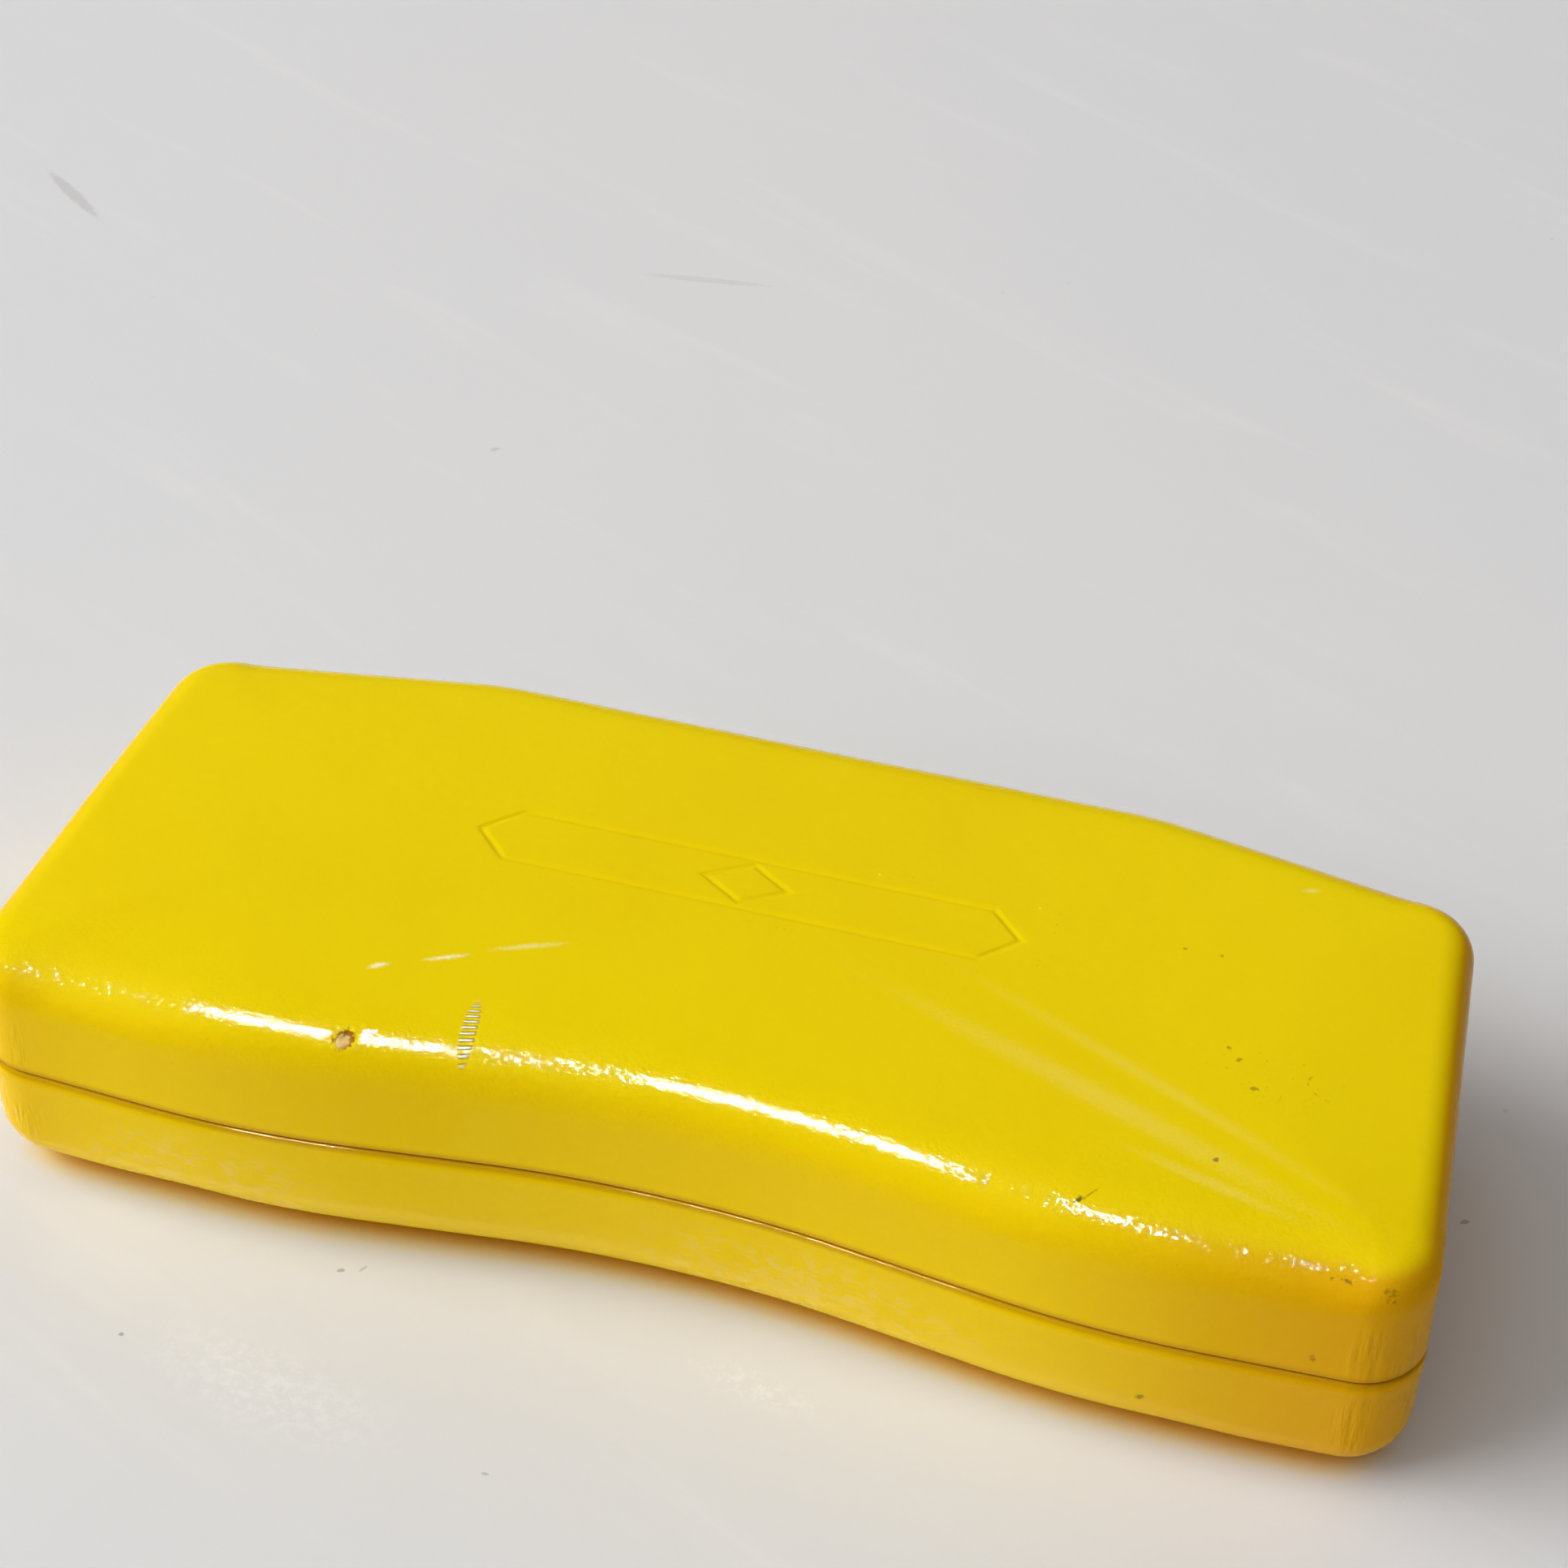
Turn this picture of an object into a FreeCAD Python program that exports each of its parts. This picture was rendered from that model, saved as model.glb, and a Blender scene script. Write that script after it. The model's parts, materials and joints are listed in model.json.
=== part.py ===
"""Hard clamshell eyeglasses case.

Two pressed steel halves, each with a glued skin outside and a flocked tray inside, joined
along the straight back by two sprung hinges under a strip of skin.

Frame: millimetres, X along the case, -Y towards the opening side, +Z up, origin under the
middle of the case on the plane that it stands on.
"""
import FreeCAD, Part
import math
import os

import Sketcher

Vector = FreeCAD.Vector
Constraint = Sketcher.Constraint

# Driving dimensions. The plan outline is a chain of arcs joined by tangent lines. Each arc is
# given by its centre and its radius on the outside of the skin.
DIMENSIONS = {
    # thumb recess in the middle of the front edge, a hollow arc
    "waist_y": -203.1,
    "waist_radius": 170.9,
    # full front edge on each side of the recess
    "lobe_x": 55.2,
    "lobe_y": 106.3,
    "lobe_radius": 143.0,
    # front corners
    "corner_x": 77.3,
    "corner_y": -27.7,
    "corner_radius": 8.1,
    # back corners
    "heel_x": 72.6,
    "heel_y": 18.2,
    "heel_radius": 9.7,
    # bends at the ends of the straight hinge wall
    "shoulder_x": 38.3,
    "shoulder_y": -11.6,
    "shoulder_radius": 45.0,
    # heights, and the rounding of the underside and of the top
    "case_height": 35.7,
    "seam_height": 18.4,
    "seam_gap": 0.3,
    "base_edge": 9.2,
    "lid_edge": 6.2,
    # layers from the outside in; the skin's margin is turned in over the steel rim
    "skin_thickness": 0.9,
    "turned_width": 2.4,
    "shell_thickness": 0.6,
    "foam_thickness": 1.6,
    "foam_half_length": 70.0,
    "foam_front": -22.5,
    "foam_back": 20.0,
    "liner_inset": 2.6,
    "liner_thickness": 0.8,
    "liner_drop": 0.1,
    # hinges: the axis runs along X at the seam's height, just behind the back wall
    "hinge_offset": 22.0,
    "hinge_setback": 0.2,
    "knuckle_radius": 2.0,
    "knuckle_length": 7.8,
    "knuckle_inner_end": 4.2,
    "leaf_thickness": 0.8,
    "leaf_half_width": 11.8,
    "leaf_reach": 9.1,
    "notch_clearance": 0.35,
    "notch_half_width": 13.2,
    "pin_radius": 1.2,
    "pin_clearance": 0.03,
    "pin_head_radius": 1.7,
    "pin_head_length": 0.5,
    "pin_end_play": 0.1,
    "rivet_offset": 7.0,
    "rivet_drop": 5.8,
    "rivet_radius": 0.8,
    "rivet_head_radius": 1.6,
    "rivet_head_height": 0.25,
    # torsion springs round the pins, their straight ends let into the knuckles
    "wire_radius": 0.25,
    "coil_radius": 1.6,
    "coil_pitch": 0.56,
    "coil_turns": 13.5,
    "tang_length": 1.5,
    "tang_overlap": 0.15,
    "tang_clearance": 0.02,
    # strip of skin over the hinges
    "strip_thickness": 0.9,
    "strip_clearance": 0.2,
    "strip_glue_gap": 0.03,
    "strip_half_height": 9.0,
    "strip_half_length": 37.0,
}

# The outline's arcs, anticlockwise from the front: name, side of the case, -1 if hollow.
OUTLINE = [
    ("waist", 0, -1),
    ("lobe", 1, 1),
    ("corner", 1, 1),
    ("heel", 1, 1),
    ("shoulder", 1, 1),
    ("shoulder", -1, 1),
    ("heel", -1, 1),
    ("corner", -1, 1),
    ("lobe", -1, 1),
]

BACK_WALL = "(sizes.shoulder_y + sizes.shoulder_radius)"
HINGE_Y = f"({BACK_WALL} + sizes.hinge_setback)"
BASE_RIM = "(sizes.seam_height - sizes.seam_gap / 2)"
LID_RIM = "(sizes.case_height - sizes.seam_height - sizes.seam_gap / 2)"
SHELL_INSET = "sizes.skin_thickness"
SHELL_INSIDE = "(sizes.skin_thickness + sizes.shell_thickness)"
LINER_FLOOR = f"({SHELL_INSIDE} + sizes.foam_thickness)"
LEAF_OUTSIDE = f"(sizes.hinge_setback + {SHELL_INSIDE})"
LEAF_INSIDE = f"({LEAF_OUTSIDE} + sizes.leaf_thickness)"
COIL_END = "(sizes.coil_pitch * sizes.coil_turns / 2)"

START, END, CENTRE = 1, 2, 3
ORIGIN = (-1, 1)
HORIZONTAL_AXIS, VERTICAL_AXIS = -1, -2
MATCH = 1e-4

doc = FreeCAD.newDocument("eyeglasses_case")
sheet = doc.addObject("Spreadsheet::Sheet", "sizes")
for row, (alias, number) in enumerate(DIMENSIONS.items(), start=1):
    sheet.set(f"A{row}", alias)
    sheet.set(f"B{row}", str(number))
    sheet.setAlias(f"B{row}", alias)
doc.recompute()

nodes = []


def value(expression):
    """The number that an expression on the sheet has now."""
    return float(sheet.evalExpression(expression.replace("sizes.", "")))


# Sketches --------------------------------------------------------------------------------

def plane_sketch(body, role, offset):
    """Sketch on one of the body's own origin planes, moved along that plane's normal."""
    sketch = body.newObject("Sketcher::SketchObject", "sketch")
    plane = next(item for item in body.Origin.OriginFeatures if item.Role == role)
    sketch.AttachmentSupport = [(plane, "")]
    sketch.MapMode = "FlatFace"
    if offset:
        sketch.setExpression("AttachmentOffset.Base.z", offset)
    return sketch


def bind(sketch, kind, places, expression):
    """Driving constraint on the given geometry and points, bound to the sheet."""
    index = sketch.addConstraint(Constraint(kind, *places, value(expression)))
    sketch.setExpression(f"Constraints[{index}]", expression)


def pin_point(sketch, item, point, across, up):
    """Hold a point at (across, up) from the sketch's origin. None puts it on that axis."""
    choices = (("DistanceX", VERTICAL_AXIS, across), ("DistanceY", HORIZONTAL_AXIS, up))
    for kind, axis, expression in choices:
        if expression is None:
            sketch.addConstraint(Constraint("PointOnObject", item, point, axis))
        else:
            bind(sketch, kind, (*ORIGIN, item, point), expression)


def add_circle(sketch, radius, across=None, up=None):
    centre = Vector(value(across or "0"), value(up or "0"), 0)
    item = sketch.addGeometry(Part.Circle(centre, Vector(0, 0, 1), value(radius)))
    bind(sketch, "Radius", (item,), radius)
    pin_point(sketch, item, CENTRE, across, up)


def add_rectangle(sketch, left, right, low, high):
    corners = [(left, low), (right, low), (right, high), (left, high)]
    points = [Vector(value(across), value(up or "0"), 0) for across, up in corners]
    lines = []
    for i, point in enumerate(points):
        lines.append(sketch.addGeometry(Part.LineSegment(point, points[(i + 1) % 4])))
    for i, line in enumerate(lines):
        sketch.addConstraint(Constraint("Coincident", line, END, lines[(i + 1) % 4], START))
        sketch.addConstraint(Constraint("Vertical" if i % 2 else "Horizontal", line))
    pin_point(sketch, lines[0], START, left, low)
    pin_point(sketch, lines[2], START, right, high)


def add_outline(sketch, inset):
    """The case's plan outline, moved inwards by inset: arcs joined by tangent lines."""
    arcs = []
    for name, side, bulge in OUTLINE:
        x = f"{side} * sizes.{name}_x" if side else None
        radius = f"sizes.{name}_radius - {bulge} * ({inset})"
        arcs.append((x, f"sizes.{name}_y", radius, bulge))
    rounds = [(value(x or "0"), value(y), bulge * value(radius)) for x, y, radius, bulge in arcs]

    normals = []
    for here, ahead in zip(rounds, rounds[1:] + rounds[:1]):
        heading = math.atan2(ahead[1] - here[1], ahead[0] - here[0])
        distance = math.hypot(ahead[0] - here[0], ahead[1] - here[1])
        lean = math.asin((here[2] - ahead[2]) / distance)
        normals.append(heading + lean - math.pi / 2)

    def touch(index, normal):
        x, y, radius = rounds[index]
        return Vector(x + radius * math.cos(normal), y + radius * math.sin(normal), 0)

    curves = []
    for i, (x, y, radius, bulge) in enumerate(arcs):
        centre = Vector(rounds[i][0], rounds[i][1], 0)
        turn = (normals[i - 1], normals[i])
        if bulge < 0:
            turn = (normals[i] + math.pi, normals[i - 1] + math.pi)
        base_circle = Part.Circle(centre, Vector(0, 0, 1), abs(rounds[i][2]))
        arc = sketch.addGeometry(Part.ArcOfCircle(base_circle, *turn))
        bind(sketch, "Radius", (arc,), radius)
        pin_point(sketch, arc, CENTRE, x, y)
        curves.append(arc)
    for i, (x, y, radius, bulge) in enumerate(arcs):
        following = (i + 1) % len(arcs)
        line = sketch.addGeometry(Part.LineSegment(touch(i, normals[i]), touch(following, normals[i])))
        leaving = END if bulge > 0 else START
        entering = START if arcs[following][3] > 0 else END
        sketch.addConstraint(Constraint("Tangent", line, START, curves[i], leaving))
        sketch.addConstraint(Constraint("Tangent", line, END, curves[following], entering))


# Features --------------------------------------------------------------------------------

def new_body(label):
    body = doc.addObject("PartDesign::Body", label)
    body.Label = label
    nodes.append(body)
    return body


def extrude(body, kind, sketch, length, symmetric=False, backwards=False):
    """Pad or Pocket of one sketch, checked to have changed the body's volume."""
    before = body.Shape.Volume if body.Tip else 0.0
    feature = body.newObject("PartDesign::" + kind, kind.lower())
    feature.Profile = sketch
    feature.setExpression("Length", length)
    feature.Reversed = backwards
    if symmetric:
        feature.SideType = "Symmetric"
    doc.recompute()
    if abs(body.Shape.Volume - before) < MATCH:
        raise RuntimeError(f"{feature.Name} in {body.Label} changes nothing")
    return feature


def round_level_edges(body, radius, height):
    """Round the edges that lie in the plane z = height."""
    base = body.Tip
    level = []
    for number, edge in enumerate(base.Shape.Edges, start=1):
        box = edge.BoundBox
        if abs(box.ZMin - value(height)) < MATCH and abs(box.ZMax - value(height)) < MATCH:
            level.append(f"Edge{number}")
    fillet = body.newObject("PartDesign::Fillet", "fillet")
    fillet.Base = (base, level)
    fillet.setExpression("Radius", radius)
    doc.recompute()


def slab(body, inset, low, high):
    sketch = plane_sketch(body, "XY_Plane", low)
    add_outline(sketch, inset)
    extrude(body, "Pad", sketch, f"{high} - {low}")


def hollow(body, inset, low, high):
    sketch = plane_sketch(body, "XY_Plane", high)
    add_outline(sketch, inset)
    extrude(body, "Pocket", sketch, f"{high} - {low}")


def cut_hinge_notches(body, rim):
    """Take the back wall away round the knuckles of both hinges."""
    sketch = plane_sketch(body, "XY_Plane", rim)
    front = f"{BACK_WALL} - (sizes.turned_width + sizes.liner_inset) / 2"
    behind = f"{BACK_WALL} + sizes.notch_clearance"
    for side in (-1, 1):
        left = f"{side} * sizes.hinge_offset - sizes.notch_half_width"
        right = f"{side} * sizes.hinge_offset + sizes.notch_half_width"
        add_rectangle(sketch, left, right, front, behind)
    depth = "sizes.knuckle_radius + sizes.notch_clearance - sizes.seam_gap / 2"
    extrude(body, "Pocket", sketch, depth)


# Pieces of one half, drawn with its floor down and its rim up ------------------------------

def make_skin(label, rim, edge):
    body = new_body(label)
    slab(body, "0", "0", rim)
    hollow(body, "sizes.turned_width", "sizes.skin_thickness", rim)
    hollow(body, "sizes.skin_thickness", "sizes.skin_thickness", f"({rim} - sizes.skin_thickness)")
    round_level_edges(body, f"{edge} - sizes.skin_thickness", "sizes.skin_thickness")
    round_level_edges(body, edge, "0")
    cut_hinge_notches(body, rim)
    return body


def make_pan(label, inset, thickness, floor, rim, edge):
    """Pan with an even wall: the steel shell and the flocked tray."""
    body = new_body(label)
    inner_floor = f"({floor} + {thickness})"
    slab(body, inset, floor, rim)
    hollow(body, f"{inset} + {thickness}", inner_floor, rim)
    round_level_edges(body, f"{edge} - {inset} - {thickness}", inner_floor)
    round_level_edges(body, f"{edge} - {inset}", floor)
    return body


def make_shell(label, rim, edge):
    shell_rim = f"({rim} - sizes.skin_thickness)"
    body = make_pan(label, SHELL_INSET, "sizes.shell_thickness", SHELL_INSET, shell_rim, edge)
    cut_hinge_notches(body, rim)
    sketch = plane_sketch(body, "XZ_Plane", f"{SHELL_INSIDE} - {BACK_WALL}")
    drop = f"{rim} + sizes.seam_gap / 2 - sizes.rivet_drop"
    for hinge_side in (-1, 1):
        for rivet_side in (-1, 1):
            across = f"{hinge_side} * sizes.hinge_offset + {rivet_side} * sizes.rivet_offset"
            add_circle(sketch, "sizes.rivet_radius", across, drop)
    extrude(body, "Pocket", sketch, "sizes.shell_thickness")
    return body


def make_foam(label):
    body = new_body(label)
    sketch = plane_sketch(body, "XY_Plane", SHELL_INSIDE)
    left, right = "-sizes.foam_half_length", "sizes.foam_half_length"
    add_rectangle(sketch, left, right, "sizes.foam_front", "sizes.foam_back")
    extrude(body, "Pad", sketch, "sizes.foam_thickness")
    return body


def make_half(name, rim, edge):
    """Skin, shell, foam and liner of one half."""
    return [
        make_skin(f"{name}_skin", rim, edge),
        make_shell(f"{name}_shell", rim, edge),
        make_foam(f"{name}_foam"),
        make_pan(f"{name}_liner", "sizes.liner_inset", "sizes.liner_thickness", LINER_FLOOR,
                 f"({rim} - sizes.liner_drop)", edge),
    ]


# Hinge pieces, drawn round the hinge axis with the leaf hanging down ------------------------

def make_leaf(label):
    body = new_body(label)
    plate = plane_sketch(body, "XZ_Plane", LEAF_OUTSIDE)
    top = "-(sizes.knuckle_radius + sizes.notch_clearance)"
    add_rectangle(plate, "-sizes.leaf_half_width", "sizes.leaf_half_width", "-sizes.leaf_reach", top)
    extrude(body, "Pad", plate, "sizes.leaf_thickness")

    tongue = plane_sketch(body, "XZ_Plane", LEAF_OUTSIDE)
    knuckle_end = "sizes.knuckle_inner_end + sizes.knuckle_length"
    add_rectangle(tongue, "sizes.knuckle_inner_end", knuckle_end, "-sizes.rivet_drop", None)
    extrude(body, "Pad", tongue, "sizes.leaf_thickness")

    barrel = plane_sketch(body, "YZ_Plane", "sizes.knuckle_inner_end")
    add_circle(barrel, "sizes.knuckle_radius")
    extrude(body, "Pad", barrel, "sizes.knuckle_length")

    bore = plane_sketch(body, "YZ_Plane", knuckle_end)
    add_circle(bore, "sizes.pin_radius + sizes.pin_clearance")
    extrude(body, "Pocket", bore, "sizes.knuckle_length")

    tang_hole = plane_sketch(body, "YZ_Plane", "sizes.knuckle_inner_end")
    add_circle(tang_hole, "sizes.wire_radius + sizes.tang_clearance", up="-sizes.coil_radius")
    extrude(body, "Pocket", tang_hole, "sizes.tang_length", backwards=True)

    rivet_holes = plane_sketch(body, "XZ_Plane", LEAF_INSIDE)
    add_rivet_circles(rivet_holes, "sizes.rivet_radius")
    extrude(body, "Pocket", rivet_holes, "sizes.leaf_thickness")
    return body


def add_rivet_circles(sketch, radius):
    for side in (-1, 1):
        add_circle(sketch, radius, f"{side} * sizes.rivet_offset", "-sizes.rivet_drop")


def make_rivets(label):
    """The two rivets of one leaf: shanks through shell and leaf, heads inside the leaf."""
    body = new_body(label)
    shanks = plane_sketch(body, "XZ_Plane", "sizes.hinge_setback + sizes.skin_thickness")
    add_rivet_circles(shanks, "sizes.rivet_radius")
    extrude(body, "Pad", shanks, "sizes.shell_thickness + sizes.leaf_thickness")
    heads = plane_sketch(body, "XZ_Plane", LEAF_INSIDE)
    add_rivet_circles(heads, "sizes.rivet_head_radius")
    extrude(body, "Pad", heads, "sizes.rivet_head_height")
    return body


def make_pin(label):
    body = new_body(label)
    half_length = "(sizes.knuckle_inner_end + sizes.knuckle_length + sizes.pin_end_play)"
    shank = plane_sketch(body, "YZ_Plane", None)
    add_circle(shank, "sizes.pin_radius")
    extrude(body, "Pad", shank, f"2 * {half_length}", symmetric=True)
    for side in (-1, 1):
        head = plane_sketch(body, "YZ_Plane", f"{side} * {half_length}")
        add_circle(head, "sizes.pin_head_radius")
        extrude(body, "Pad", head, "sizes.pin_head_length", backwards=side < 0)
    return body


def make_spring(label):
    """Torsion spring: a coil round the pin and a straight tang at each end."""
    body = new_body(label)
    profile = plane_sketch(body, "XZ_Plane", None)
    add_circle(profile, "sizes.wire_radius", f"-{COIL_END}", "sizes.coil_radius")
    coil = body.newObject("PartDesign::AdditiveHelix", "coil")
    coil.Profile = profile
    coil.ReferenceAxis = (profile, ["H_Axis"])
    coil.Mode = "pitch-turns-angle"
    coil.setExpression("Pitch", "sizes.coil_pitch")
    coil.setExpression("Turns", "sizes.coil_turns")
    doc.recompute()
    for side in (-1, 1):
        tang = plane_sketch(body, "YZ_Plane", f"{side} * ({COIL_END} - sizes.tang_overlap)")
        add_circle(tang, "sizes.wire_radius", up=f"{-side} * sizes.coil_radius")
        extrude(body, "Pad", tang, "sizes.tang_length", backwards=side < 0)
    return body


def make_strip(label):
    """Strip of skin glued to both back walls, arched round the knuckles."""
    body = new_body(label)
    inner_plane = "(sizes.hinge_setback - sizes.strip_glue_gap)"
    left, right = "-sizes.strip_half_length", "sizes.strip_half_length"
    full_length = "2 * sizes.strip_half_length"
    arch_radius = "(sizes.knuckle_radius + sizes.strip_clearance)"

    flat = plane_sketch(body, "XZ_Plane", f"{inner_plane} - sizes.strip_thickness")
    add_rectangle(flat, left, right, "-sizes.strip_half_height", "sizes.strip_half_height")
    extrude(body, "Pad", flat, "sizes.strip_thickness")

    arch = plane_sketch(body, "YZ_Plane", None)
    add_circle(arch, f"{arch_radius} + sizes.strip_thickness")
    extrude(body, "Pad", arch, full_length, symmetric=True)

    room = plane_sketch(body, "YZ_Plane", None)
    add_circle(room, arch_radius)
    extrude(body, "Pocket", room, full_length, symmetric=True)

    wall_side = plane_sketch(body, "XZ_Plane", inner_plane)
    add_rectangle(wall_side, left, right, f"-2 * {arch_radius}", f"2 * {arch_radius}")
    extrude(body, "Pocket", wall_side, f"2 * {arch_radius}", backwards=True)
    return body


# Assembly --------------------------------------------------------------------------------

UPSIDE_DOWN = FreeCAD.Rotation(Vector(0, 1, 0), 180)


def put(body, x="0", y="0", z="0", rotation=FreeCAD.Rotation()):
    """Place a body, its position bound to the sheet."""
    body.Placement = FreeCAD.Placement(Vector(value(x), value(y), value(z)), rotation)
    for axis, expression in (("x", x), ("y", y), ("z", z)):
        body.setExpression(f"Placement.Base.{axis}", expression)


make_half("base", BASE_RIM, "sizes.base_edge")
for piece in make_half("lid", LID_RIM, "sizes.lid_edge"):
    put(piece, z="sizes.case_height", rotation=UPSIDE_DOWN)

for place, side in (("left", -1), ("right", 1)):
    hinge = {"x": f"{side} * sizes.hinge_offset", "y": HINGE_Y, "z": "sizes.seam_height"}
    put(make_leaf(f"base_hinge_leaf_{place}"), **hinge)
    put(make_rivets(f"base_hinge_rivets_{place}"), **hinge)
    put(make_leaf(f"lid_hinge_leaf_{place}"), **hinge, rotation=UPSIDE_DOWN)
    put(make_rivets(f"lid_hinge_rivets_{place}"), **hinge, rotation=UPSIDE_DOWN)
    put(make_pin(f"hinge_pin_{place}"), **hinge)
    put(make_spring(f"hinge_spring_{place}"), **hinge)
put(make_strip("hinge_strip"), y=HINGE_Y, z="sizes.seam_height")

doc.recompute()
for item in doc.Objects:
    if "Invalid" in item.State or "Error" in item.State:
        raise RuntimeError(f"{item.Label} failed: {item.State}")
os.makedirs("parts", exist_ok=True)
for node in nodes:
    if node.Shape.isNull() or not node.Shape.isValid():
        raise RuntimeError(f"{node.Label} has no valid shape")
    node.Shape.exportStep(f"parts/{node.Label}.step")
    print(node.Label, len(node.Shape.Solids), round(node.Shape.Volume, 1))
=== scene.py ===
"""Looks of the hard clamshell eyeglasses case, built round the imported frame.

Metres, +Z up, the opening side towards -Y, the hinges towards +Y.
"""
import json
import math

import bmesh
import bpy
import numpy as np
from mathutils import Matrix, Vector, kdtree, noise


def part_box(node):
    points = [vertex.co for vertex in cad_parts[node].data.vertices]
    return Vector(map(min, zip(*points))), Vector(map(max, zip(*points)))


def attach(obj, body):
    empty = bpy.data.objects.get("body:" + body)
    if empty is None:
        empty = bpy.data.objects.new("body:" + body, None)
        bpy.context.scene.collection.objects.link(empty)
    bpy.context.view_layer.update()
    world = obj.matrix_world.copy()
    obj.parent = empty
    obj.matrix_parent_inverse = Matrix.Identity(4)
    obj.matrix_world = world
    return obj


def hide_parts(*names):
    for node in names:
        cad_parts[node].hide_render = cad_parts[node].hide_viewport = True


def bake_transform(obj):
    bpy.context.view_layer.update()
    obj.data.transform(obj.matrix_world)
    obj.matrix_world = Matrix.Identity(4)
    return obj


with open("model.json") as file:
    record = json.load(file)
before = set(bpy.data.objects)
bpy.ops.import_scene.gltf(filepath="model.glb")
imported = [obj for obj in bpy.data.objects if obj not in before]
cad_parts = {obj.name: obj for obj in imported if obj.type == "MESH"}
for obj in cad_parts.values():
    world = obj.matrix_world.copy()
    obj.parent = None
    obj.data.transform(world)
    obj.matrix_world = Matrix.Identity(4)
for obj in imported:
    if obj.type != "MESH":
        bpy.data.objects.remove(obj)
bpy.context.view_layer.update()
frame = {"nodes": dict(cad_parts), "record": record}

MM = 0.001
LID_BOX, BASE_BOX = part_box("lid_skin"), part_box("base_skin")
HINGE = frame["record"]["behaviour"]["joints"][0]
AXIS_Y, AXIS_Z = HINGE["pos_m"][1], HINGE["pos_m"][2]

# The plan outline as part of the design: arcs joined by tangent lines, anticlockwise from the
# middle of the front edge. Centre x, centre y and radius, which is negative where the edge is hollow.
WAIST = (0.0, -0.2031, -0.1709)
RIGHT_ARCS = [
    (0.0552, 0.1063, 0.1430),   # full front edge
    (0.0773, -0.0277, 0.0081),  # front corner
    (0.0726, 0.0182, 0.0097),   # back corner
    (0.0383, -0.0116, 0.0450),  # bend at the end of the hinge wall
]
ARCS = [WAIST] + RIGHT_ARCS + [(-x, y, r) for x, y, r in reversed(RIGHT_ARCS)]
CORNER_ARCS = (7, 2, 3, 6)      # front left, front right, back right, back left

SKIN = 0.9 * MM                 # thickness of the glued skin
TURNED = 2.4 * MM               # width of its margin turned in over the steel rim
TURNED_DEPTH = 2.0 * MM         # how far the margin's end goes down inside the rim
TURNED_THICKNESS = 0.8 * MM     # of the margin, there
SHEET = 0.6 * MM                # thickness of the pressed steel
LINER_INSET = 2.6 * MM
LINER_WALL = 0.8 * MM
LID_EDGE = 6.2 * MM
LID_SKIN_EDGE = 6.8 * MM        # the skin rounds the lid's edge a little more widely
LID_END_EDGE = 4.2 * MM         # and more tightly at its two ends
BASE_EDGE = 9.2 * MM
CORNER_EDGE = 7.3 * MM          # most that an edge's rounding can be round the four corners
SKIN_GRID, PAN_GRID = (248, 92), (156, 60)  # divisions along the length and across the depth
CAP_Z = {"lid": LID_BOX[1].z, "base": BASE_BOX[0].z}
RIM_Z = {"lid": LID_BOX[0].z, "base": BASE_BOX[1].z}
# How far a half's edge and its front corners are drawn in, and how far from the outline that reaches.
CROWN = {"lid": (0.8 * MM, 1.1 * MM, 30 * MM), "base": (1.0 * MM, 1.2 * MM, 14 * MM)}


# Outline and lofts ----------------------------------------

def tangent_normals():
    """Angle of the outward normal of each tangent line from one arc to the next."""
    angles = []
    for here, ahead in zip(ARCS, ARCS[1:] + ARCS[:1]):
        heading = math.atan2(ahead[1] - here[1], ahead[0] - here[0])
        distance = math.hypot(ahead[0] - here[0], ahead[1] - here[1])
        angles.append(heading + math.asin((here[2] - ahead[2]) / distance) - math.pi / 2)
    return angles


class Outline:
    """The plan outline as closely spaced points, with normals, and its evenly weighted resampling."""

    LINE_STEP, TURN_STEP = 0.8 * MM, math.radians(5)

    def __init__(self, per_arc=400, per_line=200):
        normals = tangent_normals()
        points, outward, weight, self.middles = [], [], [0.0], []
        for i, (x, y, radius) in enumerate(ARCS):
            start, end = normals[i - 1], normals[i]
            sweep = (end - start + math.pi) % (2 * math.pi) - math.pi
            self.middles.append(len(points) + per_arc // 2)
            for k in range(per_arc):
                angle = start + sweep * k / per_arc
                normal = np.array((math.cos(angle), math.sin(angle)))
                points.append(np.array((x, y)) + radius * normal)
                outward.append(normal)
                step = abs(radius * sweep) / per_arc
                weight.append(weight[-1] + step / self.LINE_STEP + abs(sweep) / per_arc / self.TURN_STEP)
            normal = np.array((math.cos(end), math.sin(end)))
            ahead = ARCS[(i + 1) % len(ARCS)]
            first = np.array((x, y)) + radius * normal
            last = np.array(ahead[:2]) + ahead[2] * normal
            for k in range(per_line):
                points.append(first + (last - first) * k / per_line)
                outward.append(normal)
                weight.append(weight[-1] + np.linalg.norm(last - first) / per_line / self.LINE_STEP)
        self.points, self.outward = np.array(points), np.array(outward)
        self.weight = np.array(weight)

    def ring(self, along, across):
        """Points and normals from the front left corner, anticlockwise: along, across, along, across."""
        total = self.weight[-1]
        stops = [self.weight[self.middles[corner]] for corner in CORNER_ARCS]
        stops = [stop - total if stop > stops[1] and i == 0 else stop for i, stop in enumerate(stops)]
        stops.append(stops[0] + total)
        wanted = np.concatenate([np.linspace(stops[i], stops[i + 1], count, endpoint=False)
                                 for i, count in enumerate((along, across, along, across))]) % total
        known = self.weight
        columns = []
        for values in (self.points, self.outward):
            closed = np.vstack([values, values[:1]])
            columns.append(np.column_stack([np.interp(wanted, known, closed[:, k]) for k in range(2)]))
        columns[1] /= np.linalg.norm(columns[1], axis=1)[:, None]
        return columns


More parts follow.
